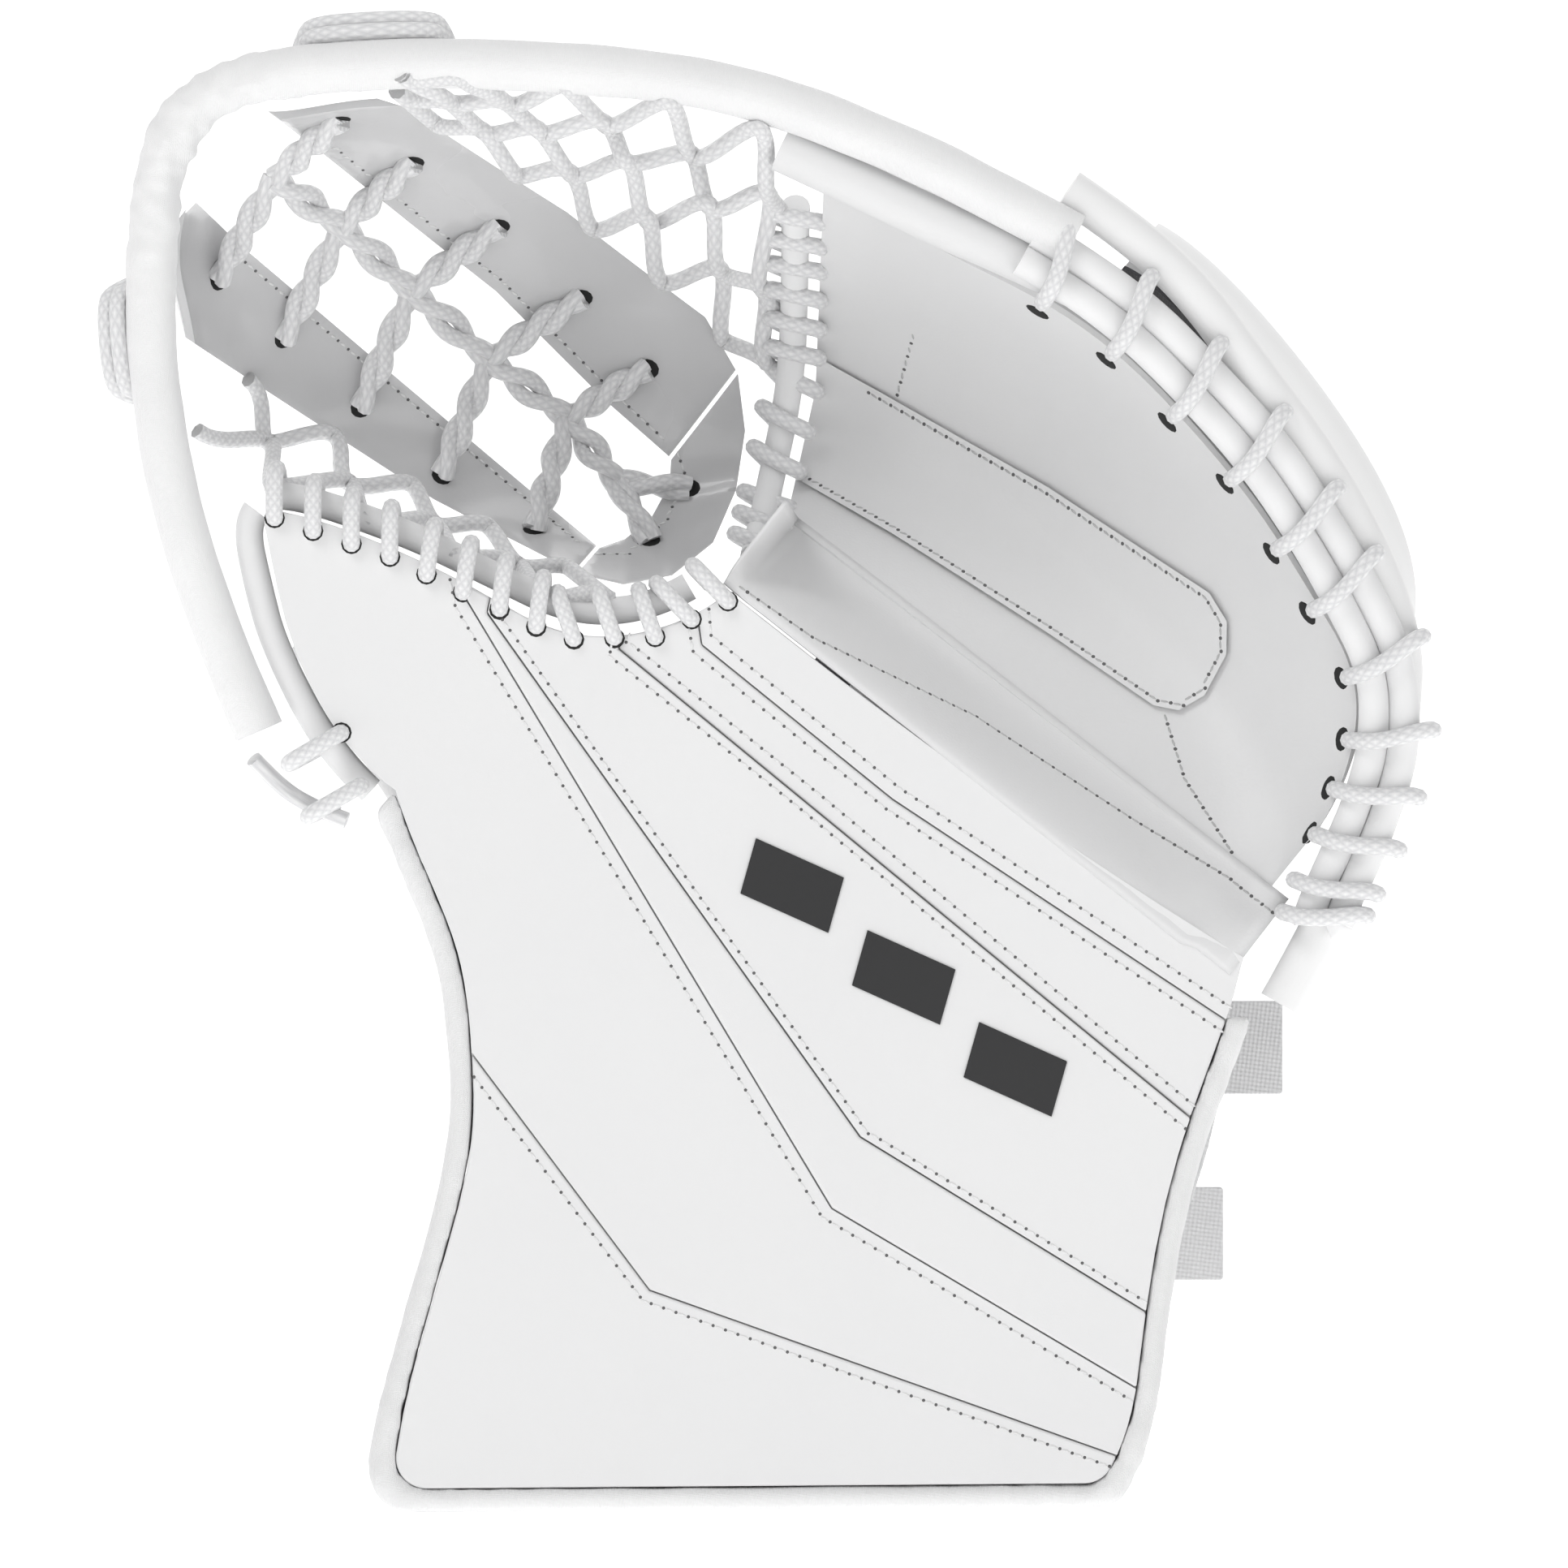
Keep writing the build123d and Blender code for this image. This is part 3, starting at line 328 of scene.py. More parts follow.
def grained(name, low, high, roughness, pebble_size, relief, specular=0.5, sheen=0.0, coat=0.0):
    """Leather, foam or moulded finish: fine pebble, soft tone changes and uneven gloss."""
    made, tree, shader = finish(name, high, roughness, specular, sheen, coat)
    marks = node(tree, "Group", node_tree=grain)
    marks.inputs["Pebble"].default_value = 1 / pebble_size
    tree.links.new(node(tree, "TexCoord").outputs["Object"], marks.inputs["Vector"])
    tone(tree, shader, marks.outputs["Cloud"], low, high)
    bump(tree, shader, marks.outputs["Height"], 0.35, relief)
    gloss = node(tree, "MapRange", {"Value": marks.outputs["Cloud"], "From Min": 0.3, "From Max": 0.7})
    gloss.inputs["To Min"].default_value = roughness - 0.06
    gloss.inputs["To Max"].default_value = roughness + 0.06
    tree.links.new(gloss.outputs[0], shader.inputs["Roughness"])
    return made


foam_grey = grained("foam_grey", (0.50, 0.50, 0.50), (0.62, 0.62, 0.62), 0.85, 0.9 * mm, 0.3 * mm)
board_white = grained("board_white", (0.70, 0.70, 0.70), (0.76, 0.76, 0.76), 0.45, 2 * mm, 0.05 * mm)
dress(["cuff_foam", "palm_foam"], foam_grey)
dress(["cuff_board", "palm_board"], board_white)

weave, weave_in, weave_out = group(
    "weave", [("Vector", "Vector", None), ("Pitch", "Float", 1200.0)],
    [("Height", "Float"), ("Cloud", "Float")],
)
bias = math.radians(38)     # the cloth is cut on the slant
warp = node(weave, "Mapping", {"Vector": weave_in.outputs["Vector"], "Rotation": (0, bias, 0)})
threads = node(weave, "SeparateXYZ", {0: warp.outputs[0]})
waves = []
for axis in (0, 2):
    line = maths(weave, "MULTIPLY", threads.outputs[axis], weave_in.outputs["Pitch"])
    shift = maths(weave, "MULTIPLY", threads.outputs[1], weave_in.outputs["Pitch"])
    waves.append(maths(weave, "SINE", maths(weave, "ADD", line, shift)))
cover = node(weave, "TexNoise", {"Vector": weave_in.outputs["Vector"], "Scale": 60.0, "Detail": 4.0})
weave.links.new(maths(weave, "MULTIPLY", waves[0], waves[1]), weave_out.inputs["Height"])
weave.links.new(cover.outputs[0], weave_out.inputs["Cloud"])


def woven(name, low, high, roughness, pitch, relief, sheen=0.3, specular=0.3):
    """Woven cloth: crossing threads, soft tone changes and a little sheen."""
    made, tree, shader = finish(name, high, roughness, specular, sheen)
    cloth = node(tree, "Group", node_tree=weave)
    cloth.inputs["Pitch"].default_value = 2 * math.pi / pitch
    tree.links.new(node(tree, "TexCoord").outputs["Object"], cloth.inputs["Vector"])
    tone(tree, shader, cloth.outputs["Cloud"], low, high)
    bump(tree, shader, cloth.outputs["Height"], 0.5, relief)
    return made


lining_dark = woven("lining_dark", (0.05, 0.05, 0.055), (0.10, 0.10, 0.105), 0.9, 0.9 * mm, 0.15 * mm)
dress(["cuff_lining", "palm_lining", "finger_dividers", "back_lining"], lining_dark)


# ------------------------------------------------------------ leather face of the cuff
# Six panels of smooth matt synthetic leather, edges turned under, are sewn to the foam.
# Two of them are padded and stand proud; three slanted dark bars are pressed on the main one.
face_leather = grained(
    "face_leather", (0.755, 0.755, 0.76), (0.79, 0.79, 0.79), 0.5, 0.5 * mm, 0.05 * mm, 0.35,
)
panel_names = ["lower", "thumb", "band", "main", "upper", "heel"]


def copied(*names):
    """Merged copy of CAD nodes, as a bmesh."""
    bm = bmesh.new()
    for name in names:
        bm.from_mesh(frame["nodes"][name].data)
    bmesh.ops.remove_doubles(bm, verts=bm.verts, dist=0.01 * mm)
    for face in bm.faces:
        face.material_index = 0
    for layer in list(bm.loops.layers.uv):
        bm.loops.layers.uv.remove(layer)
    return bm


def eased(bm, width, segments=3, sharp=40, flat=2):
    """Flat faces joined up and sharp edges rounded."""
    bmesh.ops.dissolve_limit(
        bm, angle_limit=math.radians(flat), verts=bm.verts, edges=bm.edges, use_dissolve_boundaries=False,
    )
    edges = [e for e in bm.edges if len(e.link_faces) == 2 and e.calc_face_angle(0) > math.radians(sharp)]
    bmesh.ops.bevel(
        bm, geom=edges, offset=width, offset_type="OFFSET", affect="EDGES", segments=segments,
        profile=0.5, material=-1, clamp_overlap=True,
    )
    return bm


def crisp(made):
    """Flat faces keep flat shading beside their rounded edges."""
    weighted = made.modifiers.new("flat_faces", "WEIGHTED_NORMAL")
    weighted.weight = 100
    weighted.keep_sharp = True


for name in panel_names:
    node_name = "face_panel_" + name
    panel = piece(
        "leather_" + name, eased(copied(node_name), 0.8 * mm), [face_leather], "face_leather", "thumb_cuff",
        [node_name],
    )
    crisp(panel)

bar_film = grained("bar_film", (0.028, 0.028, 0.029), (0.036, 0.036, 0.037), 0.55, 0.5 * mm, 0.03 * mm, 0.3)
bars = piece(
    "pressed_bars", eased(copied("face_bars"), 0.15 * mm, 2), [bar_film], "bar_film", "thumb_cuff",
    ["face_bars"],
)
crisp(bars)

thread_white = grained("thread_white", (0.72, 0.72, 0.72), (0.82, 0.82, 0.82), 0.6, 0.3 * mm, 0.1 * mm)
# Needle holes are dark dots between the threads: painted shade in the holes.
needle_hole_shade = grained("needle_hole_shade", (0.10, 0.10, 0.10), (0.16, 0.16, 0.16), 0.9, 0.3 * mm, 0.05 * mm)
thread_share = 0.36         # half of one thread's length, as a share of the pitch
thread_relief = 0.28 * mm
needle_shade_relief = 0.16 * mm
steepest = 0.25             # no stitch lies where the surface turns further from the front


def surface(names):
    """Tree of the nodes' faces, for laying seams on them."""
    bm = copied(*names)
    tree = BVHTree.FromBMesh(bm)
    bm.free()
    return tree


def spaced(points, pitch):
    """Evenly spaced (point, direction) pairs along a line of points."""
    left = pitch / 2
    for a, b in zip(points, points[1:]):
        length = (b - a).length
        while left < length:
            yield a.lerp(b, left / length), (b - a).normalized()
            left += pitch
        left -= length


def stitches(bm, points, tree, pitch=3.4 * mm, width=0.75 * mm, hole_radius=0.5 * mm):
    """Row of threads between needle holes, laid on a surface as seen from the front; each needle hole is a
    dark dot of painted shade.
    """
    thread = (pitch * thread_share, width / 2, thread_relief)
    needle_shade_mark = (hole_radius, hole_radius, needle_shade_relief)
    for point, direction in spaced(points, pitch):
        for shift, size, index in ((0, thread, 0), (pitch / 2, needle_shade_mark, 1)):
            spot = point + direction * shift
            hit, normal, _, _ = tree.ray_cast(Vector((spot.x, -1, spot.z)), back)
            if hit is None or abs(normal.y) < steepest:
                continue
            if normal.y > 0:
                normal = -normal
            side = normal.cross(direction).normalized()
            axes = Matrix((side.cross(normal), side, normal)).transposed().to_4x4()
            matrix = Matrix.Translation(hit) @ axes @ Matrix.Diagonal((*size, 1))
            made = bmesh.ops.create_icosphere(bm, subdivisions=1, radius=1, matrix=matrix)["verts"]
            for face in {f for v in made for f in v.link_faces}:
                face.material_index = index


def aside(points, amount):
    """(s, t) points moved sideways by millimetres: plus is to their left, seen from the front."""
    moved = []
    for i, (s, t) in enumerate(points):
        s0, t0 = points[max(i - 1, 0)]
        s1, t1 = points[min(i + 1, len(points) - 1)]
        ds = (s1 - s0) * fold_length
        dt = (t1 - t0) * fold_width
        length = math.hypot(ds, dt)
        shift_s = dt / length * amount * 100 * mm / fold_length
        shift_t = ds / length * amount * 100 * mm / fold_width
        moved.append((s + shift_s, t - shift_t))
    return moved


def seam(points, amount=0.0):
    """Line on the flat face beside the (s, t) points."""
    return [at(s, t) for s, t in aside(points, amount)]


seam_low = [(90.0, -40.0), (50.5, -37.0), (44.1, -37.0), (20.9, -42.7), (-16.0, -31.0)]
seam_band = [(90.0, -8.0), (66.5, -10.5), (62.4, -13.7), (14.2, -30.7), (-15.0, -27.0)]
seam_main = [(62.5, -10.0), (60.7, -13.5), (15.8, -25.7), (-13.0, -22.5)]
seam_upper = [(53.0, -7.0), (51.6, -9.9), (33.6, -10.0), (-5.5, -10.9)]
seam_heel = [(49.5, -4.0), (47.0, -6.2), (29.2, -6.4), (-3.0, -3.9)]
face_rows = [
    (seam_low, -3.2), (seam_band, -3.4), (seam_main, 2.2), (seam_upper, -3.0), (seam_upper, 3.0),
    (seam_heel, -3.0), (seam_heel, 3.4),
]
face_tree = surface(["face_panel_" + name for name in panel_names])
bm = bmesh.new()
for points, amount in face_rows:
    stitches(bm, seam(points, amount), face_tree)
piece("face_stitching", bm, [thread_white, needle_hole_shade], "face_leather", "thumb_cuff")

# ------------------------------------------------------------ binding round the cuff
# Nylon twill is rolled over the cuff's raw edges and sewn through; it wrinkles a little
# where it turns the corners.
binding_twill = woven("binding_twill", (0.74, 0.74, 0.745), (0.80, 0.80, 0.80), 0.7, 0.8 * mm, 0.12 * mm)


def remeshed(name, bm, voxel, smooth=0, subdivide=0):
    """Even quads over a copied shape, softened; returns a new bmesh."""
    mesh = bpy.data.meshes.new(name)
    bm.to_mesh(mesh)
    bm.free()
    holder = bpy.data.objects.new(name, mesh)
    bpy.context.scene.collection.objects.link(holder)
    voxels = holder.modifiers.new("voxels", "REMESH")
    voxels.mode = "VOXEL"
    voxels.voxel_size = voxel
    if smooth:
        soft = holder.modifiers.new("soft", "SMOOTH")
        soft.iterations = smooth
        soft.factor = 0.5
    if subdivide:
        finer = holder.modifiers.new("finer", "SUBSURF")
        finer.levels = subdivide
        finer.render_levels = subdivide
    depsgraph = bpy.context.evaluated_depsgraph_get()
    result = bpy.data.meshes.new_from_object(holder.evaluated_get(depsgraph))
    bpy.data.objects.remove(holder)
    made = bmesh.new()
    made.from_mesh(result)
    bpy.data.meshes.remove(result)
    return made


def rumpled(bm, height, scale, stretch=(1, 1, 1), spots=None):
    """Soft wrinkles along the normals, strongest near the given spots."""
    bm.normal_update()
    moves = []
    for v in bm.verts:
        amount = 1.0
        if spots:
            amount = max(max(0, 1 - (v.co - spot).length / reach) for spot, reach in spots)
        where = Vector(a * b for a, b in zip(v.co, stretch)) * scale
        moves.append(v.normal * (noise.noise(where) * height * amount))
    for v, move in zip(bm.verts, moves):
        v.co += move


binding_corners = [
    (at(27.2, -66.6, 8), 0.06), (at(-15.6, -34.6, 8), 0.06), (at(58, -28.4, 8), 0.05),
    (at(-1.2, -2.9, 8), 0.04),
]
bm = remeshed("binding", copied("cuff_binding"), 1.6 * mm, 3)
rumpled(bm, 0.9 * mm, 190, spots=binding_corners)
rumpled(bm, 0.25 * mm, 90)
piece("cuff_binding_twill", bm, [binding_twill], "fabric_binding", "thumb_cuff", ["cuff_binding"])

# ------------------------------------------------------------ thumb sleeve and pads
# The thumb slides into a lined sleeve behind the cuff; foam pads in coated nylon cover its
# back and the inner side of the wrist.
coated_nylon = woven("coated_nylon", (0.72, 0.72, 0.725), (0.78, 0.78, 0.78), 0.6, 0.7 * mm, 0.1 * mm)
dress(["thumb_sleeve"], coated_nylon)
blow_steps = 20


def stuffed(name, node_name, material, slot, body, voxel=4 * mm, shrink=0.6 * mm, cap=3 * mm):
    """Foam pad in a sewn cover: the plain block blown up a little under its cloth."""
    bm = remeshed(name, copied(node_name), voxel, 2)
    bm.normal_update()
    moves = [v.normal * -shrink for v in bm.verts]
    for v, move in zip(bm.verts, moves):
        v.co += move
    made = piece(name, bm, [material], slot)
    rest = [v.co.copy() for v in made.data.vertices]
    blown = made.modifiers.new("blown", "CLOTH")
    blown.settings.use_pressure = True
    blown.settings.uniform_pressure_force = 4
    blown.settings.tension_stiffness = 20
    blown.settings.effector_weights.gravity = 0
    blown.point_cache.frame_end = blow_steps
    for step in range(1, blow_steps + 1):
        bpy.context.scene.frame_set(step)
    depsgraph = bpy.context.evaluated_depsgraph_get()
    shape = made.evaluated_get(depsgraph).to_mesh()
    final = []
    for start, vertex in zip(rest, shape.vertices):
        move = vertex.co - start
        final.append(start + move * min(1, cap / max(move.length, 1e-9)))
    made.evaluated_get(depsgraph).to_mesh_clear()
    made.modifiers.clear()
    for vertex, co in zip(made.data.vertices, final):
        vertex.co = co
    bpy.context.scene.frame_set(1)
    finer = made.modifiers.new("finer", "SUBSURF")
    finer.levels = 1
    finer.render_levels = 1
    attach(made, body)
    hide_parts(node_name)
    return made


stuffed("thumb_pad_cover", "thumb_back_pad", coated_nylon, "back_fabric", "thumb_cuff")
stuffed("inner_wrist_cushion", "cuff_wrist_pad", lining_dark, "lining", "thumb_cuff", voxel=3 * mm)

# ------------------------------------------------------------ thumb rolls and whip lace
# A leather roll is laced along each edge of the thumb with slanting wraps that pass through
# holes in the face.
roll_leather = grained("roll_leather", (0.78, 0.78, 0.785), (0.83, 0.83, 0.83), 0.48, 0.7 * mm, 0.1 * mm, 0.4)
# The near black discs at the lace holes are painted shade inside the holes.
painted_hole_shade = grained("painted_hole_shade", (0.012, 0.012, 0.012), (0.02, 0.02, 0.02), 0.9, 0.5 * mm, 0.05 * mm)
pocket_side = [(49.0, -0.6), (51.9, -6.4), (56.1, -9.7), (62.7, -11.1), (69.2, -12.4), (77.9, -15.3)]
thumb_side = [(78.8, -19.2), (75.4, -21.9), (71.5, -24.6), (63.6, -27.9), (59.4, -28.2)]
roll_width = 7.6 * mm


def roll(
    name, points, width, body, replaced, material=roll_leather, pinch=0.94, slot="bead_fabric", steps=10,
):
    """Soft roll along a route, a little narrower at every other point, as where lace holds it."""
    radii = [pinch if i % 2 else 1 for i in range(len(points))]
    bm = gather([run(points, width, radii=radii, steps=steps, sides=5)])
    return piece(name, bm, [material], slot, body, replaced)


edge_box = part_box("thumb_edge_roll")
roll_depth = ((edge_box[0].y + edge_box[1].y) / 2 - face_y) / mm
pocket_roll_st = [(50.4, -3.6)] + aside(pocket_side, 1.0)[1:] + [(78.6, -16.6)]
outer_roll_st = [(78.6, -17.8)] + aside(thumb_side, 1.2)
pocket_roll_points = [at(s, t, roll_depth) for s, t in pocket_roll_st]
outer_roll_points = [at(s, t, roll_depth) for s, t in outer_roll_st]
roll("thumb_pocket_roll", pocket_roll_points, roll_width, "thumb_cuff", ["thumb_edge_roll"])
roll("thumb_outer_roll", outer_roll_points, roll_width, "thumb_cuff", ["thumb_side_roll"])


def wrap(inner, outward, direction, reach, front, rear, slant=4 * mm):
    """One slanting wrap: out of its hole, over the roll and back behind it."""
    over = inner + outward * reach + direction * slant
    corners = [
        Vector((inner.x, front + 3.2 * mm, inner.z)),
        Vector((inner.x, front, inner.z)),
        Vector(((inner.x + over.x) / 2, front - 1.2 * mm, (inner.z + over.z) / 2)),
        Vector((over.x, front + 0.6 * mm, over.z)),
        Vector((over.x, rear, over.z)),
        Vector(((inner.x + over.x) / 2, rear + 1.5 * mm, (inner.z + over.z) / 2)),
    ]
    return run(corners)


hole_shade_relief = 0.25 * mm


def hole(bm, point, tree, width=5.4 * mm):
    """Dark disc of painted shade for the mouth of a lace hole, laid on the surface in front."""
    hit, normal, _, _ = tree.ray_cast(Vector((point.x, -1, point.z)), back)
    if hit is None:
        return
    if normal.y > 0:
        normal = -normal
    turned = normal.to_track_quat("Z", "Y").to_matrix().to_4x4()
    matrix = Matrix.Translation(hit) @ turned @ Matrix.Diagonal((width / 2, width / 2, hole_shade_relief, 1))
    bmesh.ops.create_uvsphere(bm, u_segments=12, v_segments=6, radius=1, matrix=matrix)


whip_pitch = 10.5 * mm
cuff_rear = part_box("cuff_lining")[1].y + 2.5 * mm
edge_line = [at(s, t) for s, t in aside(pocket_side, 8.5)]
wraps = []
hole_shades = bmesh.new()
for point, direction in spaced(edge_line, whip_pitch):
    outward = direction.cross(-back).normalized()
    wraps.append(wrap(point, outward, direction, 12.5 * mm, face_y - 2.4 * mm, cuff_rear))
    hole(hole_shades, point, face_tree)
piece("thumb_wraps", gather(wraps), [lace_white], "lace", "thumb_cuff", ["thumb_whip_lace"])
side_wraps = []
side_holes = [(63.6, -26.0), (60.1, -28.0)]
for s, t in side_holes:
    side_wraps.append(wrap(at(s, t), -across, along, 15 * mm, face_y - 2.2 * mm, cuff_rear, 6 * mm))
    hole(hole_shades, at(s, t), face_tree)
piece("thumb_side_wraps", gather(side_wraps), [lace_white], "lace", "thumb_cuff")
# Painted shade in the thumb's lace holes.
piece("thumb_lace_hole_shade", hole_shades, [painted_hole_shade], "face_leather", "thumb_cuff")

# ------------------------------------------------------------ palm leather and its seams
# One soft smooth hide lines the cupped palm over foam; a tongue shaped patch is sewn on it
# and a soft strip joins it to the cuff along the fold.
palm_leather = grained(
    "palm_leather", (0.70, 0.70, 0.705), (0.77, 0.77, 0.77), 0.42, 0.8 * mm, 0.12 * mm, 0.45,
)
dress(["palm_leather", "palm_patch"], palm_leather)
palm_tree = surface(["palm_leather", "palm_patch", "palm_heel_strip"])
seam_heel_strip = [(47.7, -1.8), (40.9, -1.4), (28.2, 1.3), (14.8, 2.4), (6.5, 3.3), (1.7, 3.3)]
patch_outline = [
    (50.5, 7.0), (41.4, 8.1), (27.4, 9.3), (18.3, 9.8), (16.6, 10.6), (15.8, 12.5), (16.4, 15.6),
    (17.9, 17.4), (20.2, 18.2), (34.3, 17.3), (48.8, 15.4),
]
palm_hole_radius = 0.6 * mm
palm_rows = [[(49.3, 20.1), (47.5, 16.2)], [(17.4, 9.9), (13.2, 7.1), (7.0, 5.0)]]
bm = bmesh.new()
for points in palm_rows:
    stitches(bm, seam(points), palm_tree, hole_radius=palm_hole_radius)
stitches(bm, seam(patch_outline, 1.6), palm_tree, hole_radius=palm_hole_radius)
thread_grey = grained("thread_grey", (0.42, 0.42, 0.42), (0.55, 0.55, 0.55), 0.6, 0.3 * mm, 0.1 * mm)
piece("palm_stitching", bm, [thread_grey, needle_hole_shade], "palm_leather", "hand")

strip_start = 2.0           # percent along the fold
strip_length = 46.5
strip_reach = 19 * mm       # on the palm, past the fold
strip_turn_under = 7.5 * mm
strip_end_turn_under = 6.0 * mm
strip_slack = 0.9           # millimetres that its middle waves in and out
strip_lift = 0.5            # millimetres that it lies in front of the face
bm = bmesh.new()
bmesh.ops.create_grid(bm, x_segments=44, y_segments=14, size=1)
for v in bm.verts:
    s = strip_start + strip_length * (v.co.x + 1) / 2
    low = -strip_turn_under if s > 6 else -strip_end_turn_under
    share = (v.co.y + 1) / 2
    t = (low + (strip_reach - low) * share) * 100 / fold_width
    flat = at(s, strip_reach * 100 / fold_width)
    hit, _, _, _ = palm_tree.ray_cast(Vector((flat.x, -1, flat.z)), back)
    depth = (hit.y - face_y) / mm if hit else 6.0
    ease = share * share * (3 - 2 * share)
    soft = strip_slack * noise.noise(Vector((s * 0.35, share * 3, 0)))
    v.co = at(s, t, -strip_lift + (depth - 0.3) * ease + soft * math.sin(math.pi * share))
bmesh.ops.recalc_face_normals(bm, faces=bm.faces)
strip_tree = BVHTree.FromBMesh(bm)
if sum(face.normal.y for face in bm.faces) > 0:
    bmesh.ops.reverse_faces(bm, faces=bm.faces)
bmesh.ops.solidify(bm, geom=bm.faces, thickness=1.2 * mm)
heel_strip = piece("heel_strip_leather", bm, [palm_leather], "palm_leather", None, ["palm_heel_strip"])
bm = bmesh.new()
stitches(bm, seam(seam_heel_strip, 1.0), strip_tree, hole_radius=palm_hole_radius)
strip_seam = piece("heel_strip_stitching", bm, [thread_grey, needle_hole_shade], "palm_leather")
for made in (heel_strip, strip_seam):
    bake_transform(made)

# ------------------------------------------------------------ palm edge at the pocket
# A leather roll is whip laced along the palm's edge, where the web hangs on it.
palm_edge_st = [(48.2, 0.9), (50.2, 4.6), (54.1, 12.0), (58.6, 17.7), (61.6, 21.3)]
cloud_nodes = [
    "pocket_net_centre", "pocket_net_finger", "pocket_net_thumb", "pocket_strap_thumb", "pocket_strap_finger",
    "pocket_strap_base", "palm_edge_roll", "pocket_bead_finger", "palm_leather", "thumb_edge_roll",
]
cloud_points = [v.co for name in cloud_nodes for v in frame["nodes"][name].data.vertices]
cloud_tree = kdtree.KDTree(len(cloud_points))
for i, co in enumerate(cloud_points):
    cloud_tree.insert((co.x, 0, co.z), i)
cloud_tree.balance()


def bowl(s, t, count=40):
    """Point on the pocket's inner surface at s and t, read from the pieces that lie near it."""
    flat = at(s, t)
    total = 0.0
    depth = 0.0
    for _, index, distance in cloud_tree.find_n((flat.x, 0, flat.z), count):
        weight = 1 / (distance + 1 * mm) ** 2
        total += weight
        depth += weight * cloud_points[index].y
    return Vector((flat.x, depth / total, flat.z))


def near(s, t, tree, lift=0.0):
    """Point in front of a surface at s and t."""
    flat = at(s, t)
    hit, _, _, _ = tree.ray_cast(Vector((flat.x, -1, flat.z)), back)
    return (hit if hit else bowl(s, t)) - back * lift


edge_tree = surface(["palm_edge_roll"])
edge_points = [near(s, t, edge_tree, -3.5 * mm) for s, t in palm_edge_st]
roll("palm_pocket_roll", edge_points, roll_width, "hand", ["palm_edge_roll"])
wraps = []
for point, direction in spaced(edge_points, 11 * mm):
    outward = (-back).cross(direction).normalized()
    start = point - outward * 7 * mm - back * 3.5 * mm
    over = point + outward * 6.4 * mm + direction * 4 * mm
    wraps.append(run([
        start + back * 4 * mm, start - back * 1.5 * mm, point - back * 7 * mm + direction * 1.5 * mm,
        over - back * 3 * mm, over + back * 5 * mm, point + back * 6.5 * mm,
    ]))
piece("palm_edge_wraps", gather(wraps), [lace_white], "lace", "hand")

# ------------------------------------------------------------ back of the hand
# Segmented foam pads in coated nylon cover the four fingers and the back of the hand.
for part in ("index", "middle", "ring", "little", "hand"):
    stuffed("back_cushion_" + part, "back_pad_" + part, coated_nylon, "back_fabric", "hand", voxel=3 * mm)

# ------------------------------------------------------------ finger guard and its rim
# Smooth leather is stretched over a moulded guard behind the finger tips, with a padded roll
# along its front edge.
guard_leather = grained(
    "guard_leather", (0.80, 0.80, 0.80), (0.85, 0.85, 0.85), 0.45, 0.9 * mm, 0.08 * mm, 0.4,
)
dress(["finger_guard"], guard_leather)
guard_rim_st = [
    (46.5, 33.0), (41.1, 33.4), (35.0, 33.0), (28.6, 31.4), (19.2, 29.2), (10.9, 25.8), (6.4, 22.6),
    (4.4, 19.9), (2.4, 17.0), (0.9, 13.4), (-1.3, 4.4), (-2.2, -1.0),
]
rim_lift = 24.0             # millimetres that the rim bows forward
rim_low = 3                 # percent along the fold where the bow starts
rim_span = 97


def rim_depth(s):
    """Depth of the finger rim, which bows forward between the heel and the pocket corner."""
    return -rim_lift * math.sin(math.pi * min(max((s - rim_low) / rim_span, 0), 1))


guard_points = [at(s, t, rim_depth(s) + (2 if s > 9 else 5)) for s, t in guard_rim_st]
roll("guard_edge_roll", guard_points, 11 * mm, "hand", ["guard_rim"], guard_leather, 1.0, "guard_plastic")
pad_roll_st = [(64.6, 23.4), (58.9, 24.6), (52.2, 26.0), (46.4, 27.4), (42.0, 28.4)]
pad_points = [at(s, t, rim_depth(s) + 4) for s, t in pad_roll_st]
roll("rim_pad_roll", pad_points, 13 * mm, "hand", [], palm_leather, 0.97, "palm_leather")

# ------------------------------------------------------------ rim rolls and rim lace
# Two leather rolls lie side by side along the finger rim, held by loops of lace through
# punched holes in the palm.
rim_holes = [
    (42.9, 26.0), (36.7, 26.3), (30.4, 25.6), (24.3, 24.7), (18.5, 23.0), (13.7, 21.3), (8.7, 19.2),
    (5.8, 15.9), (4.4, 12.7), (3.4, 9.5), (2.6, 6.2), (1.8, 4.0),
]
rim_line = [(45.8, 25.6)] + rim_holes + [(1.4, 3.5)]
rim_roll_width = 8.4 * mm


def rim_route(sideways, forward):
    """Route of one roll, millimetres beside the row of holes and in front of it."""
    return [
        at(s, t, rim_depth(hole_s) - forward)
        for (s, t), (hole_s, _) in zip(aside(rim_line, sideways), rim_line)
    ]


